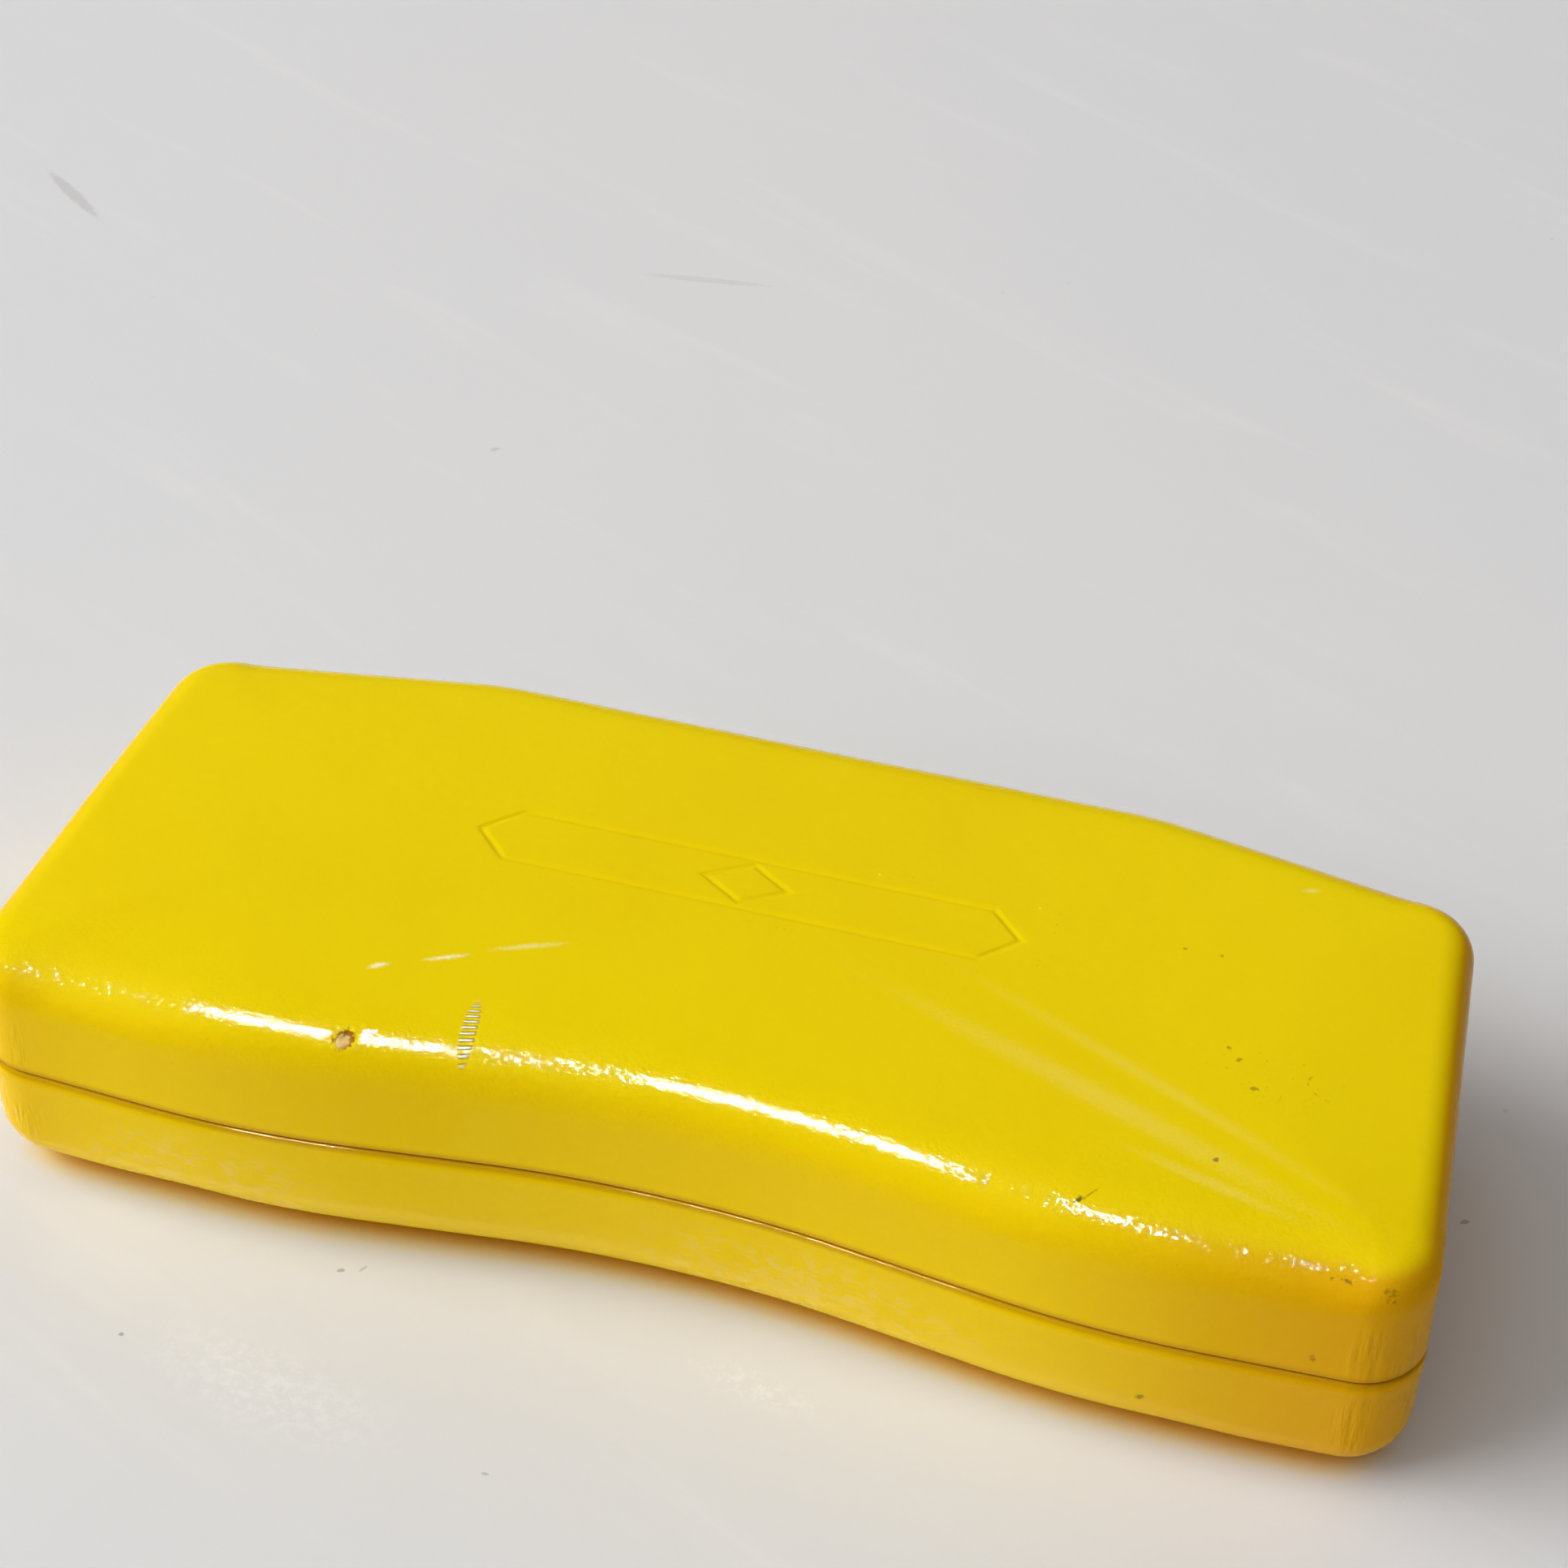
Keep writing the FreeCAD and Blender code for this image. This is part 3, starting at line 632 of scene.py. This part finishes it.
def table_material():
    """White lacquered board with a soft sheen, a few faint strokes and specks, and painted highlights as
    lighter blotchy patches.
    """
    g = Graph("table")
    broad = g.noise(3.5, 2)
    tone = g.mix(g.ramp(broad, 0.3, 0.7), (0.70, 0.69, 0.69), (0.68, 0.68, 0.69))
    streaks = g.noise(1.0, 4, 0.6, 0.5, g.moved((0, 0, 0), math.radians(-25), (0.09, 0.012, 0.05)))
    tone = g.mix(g.ramp(streaks, 0.52, 0.8, 0.0, 0.5), tone, (0.75, 0.74, 0.74))
    for centre, half_length, half_width, turn, strength in TABLE_MARKS:
        share = g.times(spot(g, centre, half_length, half_width, turn, 0.6), strength)
        tone = g.mix(share, tone, linear(120, 108, 98))
    dots = g.ramp(g.noise(160, 1, 0.5), 0.80, 0.83)
    tone = g.mix(g.times(dots, 0.25), tone, linear(120, 100, 80))
    # Painted highlights: lighter blotchy patches where a lamp is reflected.
    for centre, half_length, half_width in TABLE_PAINTED_HIGHLIGHTS:
        near = g.moved(centre, math.radians(-10), (half_length, half_width, 0.01))
        away = g.length(near)
        blotch = g.times(g.ramp(away, 1.2, 0.1), g.ramp(g.noise(620, 4, 0.75), 0.42, 0.66))
        tone = g.mix(g.times(blotch, 0.42), tone, (0.86, 0.85, 0.85))
    # Painted warm shade on the board close under the case, laid on by occlusion: the orange of light
    # bounced from the yellow skin above it.
    near = g.node("ShaderNodeAmbientOcclusion", {"Distance": 0.005}, samples=8).outputs["AO"]
    tone = g.mix(g.ramp(near, 0.62, 0.30, 0.0, 0.9), tone, (0.74, 0.56, 0.10))
    tone = g.mix(g.ramp(near, 0.42, 0.16, 0.0, 0.9), tone, (0.74, 0.30, 0.0))
    rough = g.math("ADD", 0.30, g.times(g.noise(40, 3), 0.12))
    return g.set(Base_Color=tone, Roughness=rough, Normal=g.bump(g.noise(90, 2), 0.00006),
                 Specular_IOR_Level=0.15)


# Skins ----------------------------------------

def make_skin(half, edge, end_edge, ease, material, detail, fine_areas):
    """Skin of one half: cap, rounded edge, wall, turned-in rim and the glued inside."""
    cap_z, rim_z, draft = CAP_Z[half], RIM_Z[half], 0.3 * MM
    loft = Loft(OUTLINE, *SKIN_GRID)
    stride = 4
    up = 1 if rim_z > cap_z else -1
    height = abs(rim_z - cap_z)
    rounding = edge_rounding(loft.points, edge, end_edge)

    def ring(inset, h, outer=0.0, every=1):
        lean = draft * (1 - np.asarray(h) / height)
        return loft.ring(inset + lean, cap_z + up * np.asarray(h), outer, every)

    rings = [ring(rounding * (1 - out), rounding * down, 1.0) for out, down in roll(16, ease)]
    rim_round, inner_round = 0.42 * MM, 0.35 * MM
    wall_bottom = height - rim_round
    for k in range(1, 9):
        share = k / 8
        rings.append(ring(0.0, rounding + (wall_bottom - rounding) * share, 1.0 if k < 8 else 0.8))
    for k in range(1, 6):
        a = math.radians(90 * k / 5)
        rings.append(ring(rim_round * (1 - math.cos(a)), wall_bottom + rim_round * math.sin(a),
                          0.8 - 0.12 * k))
    for k in range(1, 4):
        rings.append(ring(rim_round + (TURNED - inner_round - rim_round) * k / 3, height, 0.15))
    for k in range(1, 4):
        a = math.radians(90 * k / 3)
        rings.append(ring(TURNED - inner_round * (1 - math.sin(a)),
                          height - inner_round * (1 - math.cos(a))))
    rings.append(ring(TURNED, height - TURNED_DEPTH))
    for lower, upper in zip(rings, rings[1:]):
        loft.join(lower, upper)
    loft.cap(rings[0], outer=1.0)

    coarse = [ring(TURNED - TURNED_THICKNESS, height - TURNED_DEPTH, every=stride)]
    coarse.append(ring(TURNED - TURNED_THICKNESS, height - SKIN, every=stride))
    coarse.append(ring(SKIN, height - SKIN, every=stride))
    inner_round_edge = rounding - SKIN
    for k in range(6, -1, -1):
        a = math.radians(90 * k / 6)
        coarse.append(ring(SKIN + inner_round_edge * (1 - math.sin(a)),
                           SKIN + inner_round_edge * (1 - math.cos(a)), every=stride))
    loft.join_coarser(rings[-1], coarse[0], stride)
    for lower, upper in zip(coarse, coarse[1:]):
        loft.join(lower, upper)
    loft.cap(coarse[-1], stride)

    mesh = loft.mesh(f"{half}_cover")
    add_detail(mesh, half, loft.outer, detail, fine_areas)
    skin = finish_piece(mesh, mesh.name, material, half, (f"{half}_skin",))
    cut_hinge_notches(skin)
    return skin


def add_detail(mesh, half, outer_shares, detail, fine_areas):
    """Divide the fine areas, move outer points along their normals, then draw the cap in."""
    shape = bmesh.new()
    shape.from_mesh(mesh)
    outer = shape.verts.layers.float.new("outer")
    for vertex, share in zip(shape.verts, outer_shares):
        vertex[outer] = share
    bmesh.ops.recalc_face_normals(shape, faces=shape.faces)
    for low, high, cuts in fine_areas:
        inside = [face for face in shape.faces if min(v[outer] for v in face.verts) > 0.5
                  and all(a <= c <= b for a, c, b in zip(low, face.calc_center_median(), high))]
        edges = {edge for face in inside for edge in face.edges}
        bmesh.ops.subdivide_edges(shape, edges=list(edges), cuts=cuts, use_grid_fill=True)
    shape.normal_update()
    normals = [vertex.normal.copy() for vertex in shape.verts]
    for vertex, normal in zip(shape.verts, normals):
        rise = abs(vertex.co.z - CAP_Z[half])
        if vertex[outer] > 0:
            vertex.co += normal * (vertex[outer] * detail(vertex.co, rise))
        vertex.co.z += drawn_in(half, vertex.co)
    shape.to_mesh(mesh)
    shape.free()


def swell(place, size, seed):
    """Smooth noise of about that size, from -1 to 1."""
    return noise.noise(Vector(place) / size + Vector((seed, seed * 1.7, seed * 2.3)))


def ornament(x, y):
    """Depth share of the pressed ornament: the outline of a slim pointed band round a lozenge."""
    x, y = abs(x + 1.5 * MM), abs(y - 3.0 * MM)
    band = max(y - 4.2 * MM, (x + y - 33 * MM) / math.sqrt(2))
    lozenge = (x + 1.6 * y - 5.2 * MM) / 1.89
    return max(step(0.50 * MM, 0.12 * MM, abs(band)), step(0.50 * MM, 0.12 * MM, abs(lozenge)))


def corner_wrinkles(place):
    """Fine upright wrinkles of the skin drawn round the front right corner."""
    corner_x, corner_y, _ = RIGHT_ARCS[1]
    angle = math.atan2(place.y - corner_y, place.x - corner_x)
    within = step(-1.75, -1.35, angle) * step(0.15, -0.3, angle)
    lively = step(-0.2, 0.5, noise.noise(Vector((angle * 2.1, place.z / (9 * MM), 4.0))))
    wave = noise.noise(Vector((angle * 9.0, place.z / (16 * MM), 7.7)))
    return within * (0.35 + 0.65 * lively) * wave


def lid_detail(place, rise):
    """How far the lid's skin stands out, at a place and a distance from its top."""
    depth = -0.10 + 0.10 * swell(place, 34 * MM, 3.1) + 0.035 * swell(place, 12 * MM, 8.2)
    if rise < 4 * MM:
        depth -= 0.16 * ornament(place.x, place.y)
        x, y, z = place.x - HOLLOW[0], place.y - HOLLOW[1], place.z - HOLLOW[2]
        chip = math.hypot((x * 0.82 + y * 0.57) * 0.6, y * 0.82 - x * 0.57, z)
        chip += 1.1 * MM * noise.noise(place / (0.8 * MM))
        depth += 0.04 * step(2.0 * MM, 1.1 * MM, chip) - 0.20 * step(1.0 * MM, 0.3 * MM, chip)
        bruise = math.hypot(place.x - BRUISE[0], (place.y - BRUISE[1]) / 4)
        depth -= 0.06 * step(1.5 * MM, 0.3 * MM, bruise)
    if rise > 7 * MM:
        depth += 0.09 * corner_wrinkles(place) * step(7 * MM, 11 * MM, rise)
    return depth * MM


def base_detail(place, rise):
    """How far the base's skin stands out, at a place and a distance from its underside."""
    depth = -0.10 + 0.08 * swell(place, 30 * MM, 5.3) + 0.05 * swell(place, 12 * MM, 2.2)
    depth += 0.07 * corner_wrinkles(place) * step(6 * MM, 11 * MM, rise)
    return depth * MM


LID_FINE = [
    ((-0.0375, -0.0035, 0.03), (0.0345, 0.0095, 0.04), 3),     # ornament
    ((-0.0405, -0.0365, 0.03), (-0.0345, -0.0300, 0.04), 4),   # chip
    ((0.0745, -0.0380, 0.0195), (0.0870, -0.0240, 0.0300), 4), # wrinkled corner
]
BASE_FINE = [((0.0745, -0.0380, 0.0070), (0.0870, -0.0240, 0.0175), 4)]


# Liners, foam and hinge pieces -------------------------------------------------------------

def make_pan(name, half, node, inset, wall, edge, material):
    """Thin pan with a rolled lip that follows the outline: the steel shell or the moulded liner."""
    low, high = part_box(node)
    cap_z, rim_z = (low.z, high.z) if half == "base" else (high.z, low.z)
    up = 1 if rim_z > cap_z else -1
    height = abs(rim_z - cap_z)
    loft = Loft(OUTLINE, *PAN_GRID)
    rounding = edge_rounding(loft.points, edge, edge) - inset

    def ring(more, h):
        return loft.ring(inset + more, cap_z + up * np.asarray(h))

    def bowl(offset):
        radius = rounding - offset
        turns = [math.radians(90 * k / 8) for k in range(9)]
        return [ring(offset + radius * (1 - math.sin(a)), offset + radius * (1 - math.cos(a)))
                for a in turns]

    lip = wall / 2
    wall_top = height - lip
    rows = bowl(0.0)
    rows += [ring(0.0, rounding + (wall_top - rounding) * k / 3) for k in (1, 2, 3)]
    for k in range(1, 7):
        a = math.radians(180 * k / 6)
        rows.append(ring(lip * (1 - math.cos(a)), wall_top + lip * math.sin(a)))
    rows += [ring(wall, rounding + (wall_top - rounding) * k / 3) for k in (2, 1)]
    rows += bowl(wall)[::-1]
    for lower, upper in zip(rows, rows[1:]):
        loft.join(lower, upper)
    loft.cap(rows[0])
    loft.cap(rows[-1])
    mesh = loft.mesh(name)
    for vertex in mesh.vertices:
        vertex.co.z += drawn_in(half, vertex.co)
    return finish_piece(mesh, name, material, half, (node,))


def make_foam(half, material):
    """Foam sheet with softened edges, drawn in with the half it lies in."""
    low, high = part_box(f"{half}_foam")
    size = high - low
    mesh = bpy.data.meshes.new(f"{half}_foam_sheet")
    shape = bmesh.new()
    bmesh.ops.create_cube(shape, size=1.0)
    bmesh.ops.scale(shape, vec=size, verts=shape.verts)
    bmesh.ops.translate(shape, vec=(low + high) / 2, verts=shape.verts)
    upright = [edge for edge in shape.edges
               if abs((edge.verts[0].co - edge.verts[1].co).normalized().z) > 0.9]
    bmesh.ops.bevel(shape, geom=upright, offset=5 * MM, segments=6, affect="EDGES")
    sharp = [edge for edge in shape.edges if edge.calc_face_angle(0) > 1.0]
    bmesh.ops.bevel(shape, geom=sharp, offset=0.35 * MM, segments=3, affect="EDGES")
    long = [edge for edge in shape.edges if edge.calc_length() > 20 * MM]
    bmesh.ops.subdivide_edges(shape, edges=long, cuts=24, use_grid_fill=True)
    for vertex in shape.verts:
        vertex.co.z += drawn_in(half, vertex.co)
    shape.to_mesh(mesh)
    shape.free()
    piece = finish_piece(mesh, mesh.name, material, half, (f"{half}_foam",))
    return piece


def make_strip(material):
    """Strip of skin over the hinges, pressed on both walls and swelling over the knuckles."""
    low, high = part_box("hinge_strip")
    thickness, edge_thickness, tuck = 0.9 * MM, 0.25 * MM, 0.15 * MM
    corner, lip = 3.0 * MM, 1.0 * MM
    reach, half_length = high.z - AXIS_Z, high.x
    swelling, knuckle = high.y - low.y - thickness, 2.5 * MM
    knuckles_end, pressed_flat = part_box("base_hinge_leaf_right")[1].x, half_length - 0.3 * MM

    def bulge(z, x=0.0):
        """How far the strip's inner face stands off the walls at a height from the hinge axis."""
        return swelling * step(pressed_flat, knuckles_end, abs(x)) / (1 + (z / knuckle) ** 4)

    turns = [math.radians(90 * k / 8) for k in range(9)]
    middle = list(np.linspace(corner - half_length, half_length - corner, 121))
    columns = sorted([-half_length + corner * (1 - math.cos(a)) for a in turns[:-1]] + middle
                     + [half_length - corner * (1 - math.cos(a)) for a in turns[:-1]])
    rows = np.linspace(-1, 1, 61)
    sides = {1: [], -1: []}
    for x in columns:
        from_end = half_length - abs(x)
        inward = max(0.0, corner - from_end)
        column_reach = reach - corner + math.sqrt(corner ** 2 - inward ** 2)
        for row in rows:
            z = row * column_reach
            t = min(1.0, min(from_end, column_reach - abs(z)) / lip)
            thick = edge_thickness + (thickness - edge_thickness) * math.sqrt(t * (2 - t))
            unevenness = noise.noise(Vector((x / (5 * MM), z / (3 * MM), 1.0)))
            ripple = 0.04 * MM * t * unevenness
            inner = low.y + bulge(z, x)
            sides[1].append((x, min(inner + thick + ripple, high.y), AXIS_Z + z))
            sides[-1].append((x, inner - tuck * (1 - bulge(z, x) / swelling), AXIS_Z + z))
    verts = sides[1] + sides[-1]
    count, per_side = len(rows), len(sides[1])
    faces = []
    for first in (0, per_side):
        for i in range(len(columns) - 1):
            for j in range(count - 1):
                a = first + i * count + j
                faces.append((a, a + count, a + count + 1, a + 1))
    rim = [i * count for i in range(len(columns))]
    rim += [(len(columns) - 1) * count + j for j in range(1, count)]
    rim += [i * count + count - 1 for i in range(len(columns) - 2, -1, -1)]
    rim += list(range(count - 2, 0, -1))
    for a, b in zip(rim, rim[1:] + rim[:1]):
        faces.append((a, b, b + per_side, a + per_side))
    mesh = bpy.data.meshes.new("hinge_cover_strip")
    mesh.from_pydata(verts, [], faces)
    piece = finish_piece(mesh, mesh.name, material, None, ("hinge_strip",))
    heights = np.linspace(-reach, reach, 400)
    rise = np.diff([bulge(z) for z in heights])
    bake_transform(piece)
    return piece


def make_spring(side, material):
    """Wound torsion spring with a straight tang at each end, swept along its own line."""
    low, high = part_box(f"hinge_spring_{side}")
    middle = (low.x + high.x) / 2
    wire, radius, turns, pitch = 0.25 * MM, 1.6 * MM, 13.5, 0.56 * MM
    coil_half = turns * pitch / 2
    steps = 24
    line = []
    for k in range(4):
        line.append((low.x + (middle - coil_half - low.x) * k / 4, 0.0, radius))
    for k in range(int(turns * steps) + 1):
        a = 2 * math.pi * k / steps
        line.append((middle - coil_half + pitch * k / steps, radius * math.sin(a), radius * math.cos(a)))
    for k in range(1, 5):
        line.append((middle + coil_half + (high.x - middle - coil_half) * k / 4, 0.0, -radius))
    line = np.array(line)
    tangent = np.gradient(line, axis=0)
    tangent /= np.linalg.norm(tangent, axis=1)[:, None]
    sides = 10
    verts, faces = [], []
    for point, along in zip(line, tangent):
        away = np.array((0.0, point[1], point[2]))
        away -= along * away.dot(along)
        away /= np.linalg.norm(away)
        across = np.cross(along, away)
        for k in range(sides):
            a = 2 * math.pi * k / sides
            x, y, z = point + wire * (math.cos(a) * away + math.sin(a) * across)
            verts.append((x, AXIS_Y + y, AXIS_Z + z))
    for i in range(len(line) - 1):
        for k in range(sides):
            a, b = i * sides + k, i * sides + (k + 1) % sides
            faces.append((a, b, b + sides, a + sides))
    faces.append(tuple(range(sides)))
    faces.append(tuple(range(len(verts) - sides, len(verts))))
    mesh = bpy.data.meshes.new(f"torsion_spring_{side}")
    mesh.from_pydata(verts, [], faces)
    piece = finish_piece(mesh, mesh.name, material, None, (f"hinge_spring_{side}",))
    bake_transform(piece)
    return piece


def dress_cad_steel():
    """Materials of the steel pieces whose CAD shapes stay."""
    finishes = {
        "leaf": steel("nickel_leaf", (0.58, 0.57, 0.54), 0.34),
        "rivets": steel("rivet_metal", (0.50, 0.50, 0.49), 0.38),
        "pin": steel("pin_metal", (0.50, 0.50, 0.50), 0.30),
    }
    for name, node in frame["nodes"].items():
        for word, material in finishes.items():
            if word in name:
                node.data.materials.clear()
                node.data.materials.append(material)


def cut_hinge_notches(skin):
    """Take the skin away round the knuckles, as its CAD node has it."""
    half_width, through, depth = 13.2 * MM, 6 * MM, 2.35 * MM
    front = BASE_BOX[1].y - 2.5 * MM
    cutter_mesh = bpy.data.meshes.new("cutter")
    shape = bmesh.new()
    for side in ("left", "right"):
        low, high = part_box(f"hinge_pin_{side}")
        middle = (low.x + high.x) / 2
        size = (2 * half_width, through, 2 * depth)
        made = bmesh.ops.create_cube(shape, size=1.0)["verts"]
        bmesh.ops.scale(shape, vec=size, verts=made)
        bmesh.ops.translate(shape, vec=(middle, front + size[1] / 2, AXIS_Z), verts=made)
    shape.to_mesh(cutter_mesh)
    shape.free()
    cutter = bpy.data.objects.new("cutter", cutter_mesh)
    bpy.context.scene.collection.objects.link(cutter)
    modifier = skin.modifiers.new("notches", "BOOLEAN")
    modifier.operation, modifier.object, modifier.solver = "DIFFERENCE", cutter, "EXACT"
    bpy.context.view_layer.update()
    cut = bpy.data.meshes.new_from_object(skin.evaluated_get(bpy.context.evaluated_depsgraph_get()))
    skin.modifiers.clear()
    skin.data = cut
    bpy.data.objects.remove(cutter)


# Stage ----------------------------------------

CAMERA_PLACE = (0.08195, -0.27914, 0.30551)
CAMERA_FORWARD = (-0.20438707, 0.72818734, -0.65419349)
CAMERA_ROLL = math.radians(1.17)
CAMERA_LENS, CAMERA_SENSOR = 78.35, 36.0    # millimetres
LAMP_DISTANCE = 3.2
SKY_AXIS = (-0.42, 0.05, 0.90)  # towards the brighter side of the room
SKY_STOPS = [
    (0.28, (0.17, 0.13, 0.09, 1)),
    (0.65, (0.50, 0.515, 0.53, 1)),
]


def make_camera():
    """Camera above the right front of the case, a little rolled, on a short telephoto lens."""
    forward = Vector(CAMERA_FORWARD).normalized()
    level = forward.cross(Vector((0, 0, 1))).normalized()
    above = level.cross(forward)
    right = level * math.cos(CAMERA_ROLL) + above * math.sin(CAMERA_ROLL)
    up = above * math.cos(CAMERA_ROLL) - level * math.sin(CAMERA_ROLL)
    camera = bpy.data.cameras.new("camera")
    camera.lens, camera.sensor_width = CAMERA_LENS, CAMERA_SENSOR
    camera.clip_start, camera.clip_end = 0.01, 20.0
    holder = bpy.data.objects.new("camera", camera)
    turned = Matrix((right, up, -forward)).transposed().to_4x4()
    holder.matrix_world = Matrix.Translation(CAMERA_PLACE) @ turned
    bpy.context.scene.collection.objects.link(holder)
    bpy.context.scene.camera = holder


def make_floor():
    """The table top, as a wide flat floor."""
    reach = 3
    corners = [(-reach, -reach, 0), (reach, -reach, 0), (reach, reach, 0), (-reach, reach, 0)]
    mesh = bpy.data.meshes.new("table_top")
    mesh.from_pydata(corners, [], [(0, 1, 2, 3)])
    floor = bpy.data.objects.new("table_top", mesh)
    mesh.materials.append(table_material())
    bpy.context.scene.collection.objects.link(floor)
    return floor


def add_light(name, toward, size, power, colour=(1, 1, 1)):
    """Oblong lamp in a direction from the case, facing it, its length level."""
    lamp = bpy.data.lights.new(name, "AREA")
    lamp.shape, lamp.size, lamp.size_y = "RECTANGLE", size[0], size[1]
    lamp.energy, lamp.color = power, colour
    holder = bpy.data.objects.new(name, lamp)
    direction = Vector(toward).normalized()
    holder.location = direction * LAMP_DISTANCE
    holder.rotation_euler = direction.to_track_quat("Z", "Y").to_euler()
    bpy.context.scene.collection.objects.link(holder)
    return holder


def make_light():
    """Dim room, a soft lamp on the left, a weak warm one in front, and a tube that only gleams."""
    world = bpy.data.worlds.new("room")
    world.use_nodes = True
    tree = world.node_tree
    place = tree.nodes.new("ShaderNodeTexCoord")
    slope = tree.nodes.new("ShaderNodeVectorMath")
    slope.operation = "DOT_PRODUCT"
    slope.inputs[1].default_value = SKY_AXIS
    ramp = tree.nodes.new("ShaderNodeValToRGB")
    tree.links.new(place.outputs["Generated"], slope.inputs[0])
    tree.links.new(slope.outputs["Value"], ramp.inputs["Fac"])
    tree.links.new(ramp.outputs["Color"], tree.nodes["Background"].inputs["Color"])
    for stop, (position, colour) in zip(ramp.color_ramp.elements, SKY_STOPS):
        stop.position, stop.color = position, colour
    bpy.context.scene.world = world
    add_light("soft_left", (-0.75, -0.26, 0.63), (2.4, 2.4), 96.0)
    add_light("low_front", (-0.25, -0.9, 0.4), (2.0, 1.6), 4.0, (1.0, 0.85, 0.74))
    tube = add_light("tube", (-0.20, -0.45, 0.87), (1.9, 0.40), 1480.0)
    tube.visible_diffuse = False
    bpy.context.scene.view_settings.view_transform = "Standard"
    return tube


def flag_off(lamp, lit):
    """Let a lamp reach only these objects, as flags round it would."""
    receivers = bpy.data.collections.new(f"{lamp.name}_reaches")
    for thing in lit:
        receivers.objects.link(thing)
    lamp.light_linking.receiver_collection = receivers


# Build ----------------------------------------

make_camera()
table = make_floor()
tube_lamp = make_light()

lid_skin = make_skin("lid", LID_SKIN_EDGE, LID_END_EDGE, 0.55, patent_skin("patent_lid", lid_marks),
                     lid_detail, LID_FINE)
base_skin = make_skin("base", BASE_EDGE, BASE_EDGE, 0.15, patent_skin("patent_base", base_marks),
                      base_detail, BASE_FINE)
pile = flocking("charcoal_pile", linear(62, 62, 66))
sheet_steel = steel("pressed_sheet", (0.50, 0.51, 0.53), 0.38)
for half_name, half_edge in (("base", BASE_EDGE), ("lid", LID_EDGE)):
    make_pan(f"{half_name}_flocked_tray", half_name, f"{half_name}_liner", LINER_INSET, LINER_WALL,
             half_edge, pile)
    make_pan(f"{half_name}_pressed_pan", half_name, f"{half_name}_shell", SKIN, SHEET,
             half_edge, sheet_steel)
foam = foam_material("foam_cells")
for half_name in ("base", "lid"):
    make_foam(half_name, foam)
strip = make_strip(patent_skin("patent_strip"))
flag_off(tube_lamp, (table, lid_skin, base_skin, strip))
wire_steel = steel("spring_steel", (0.36, 0.36, 0.38), 0.22)
for hinge_side in ("left", "right"):
    make_spring(hinge_side, wire_steel)
dress_cad_steel()
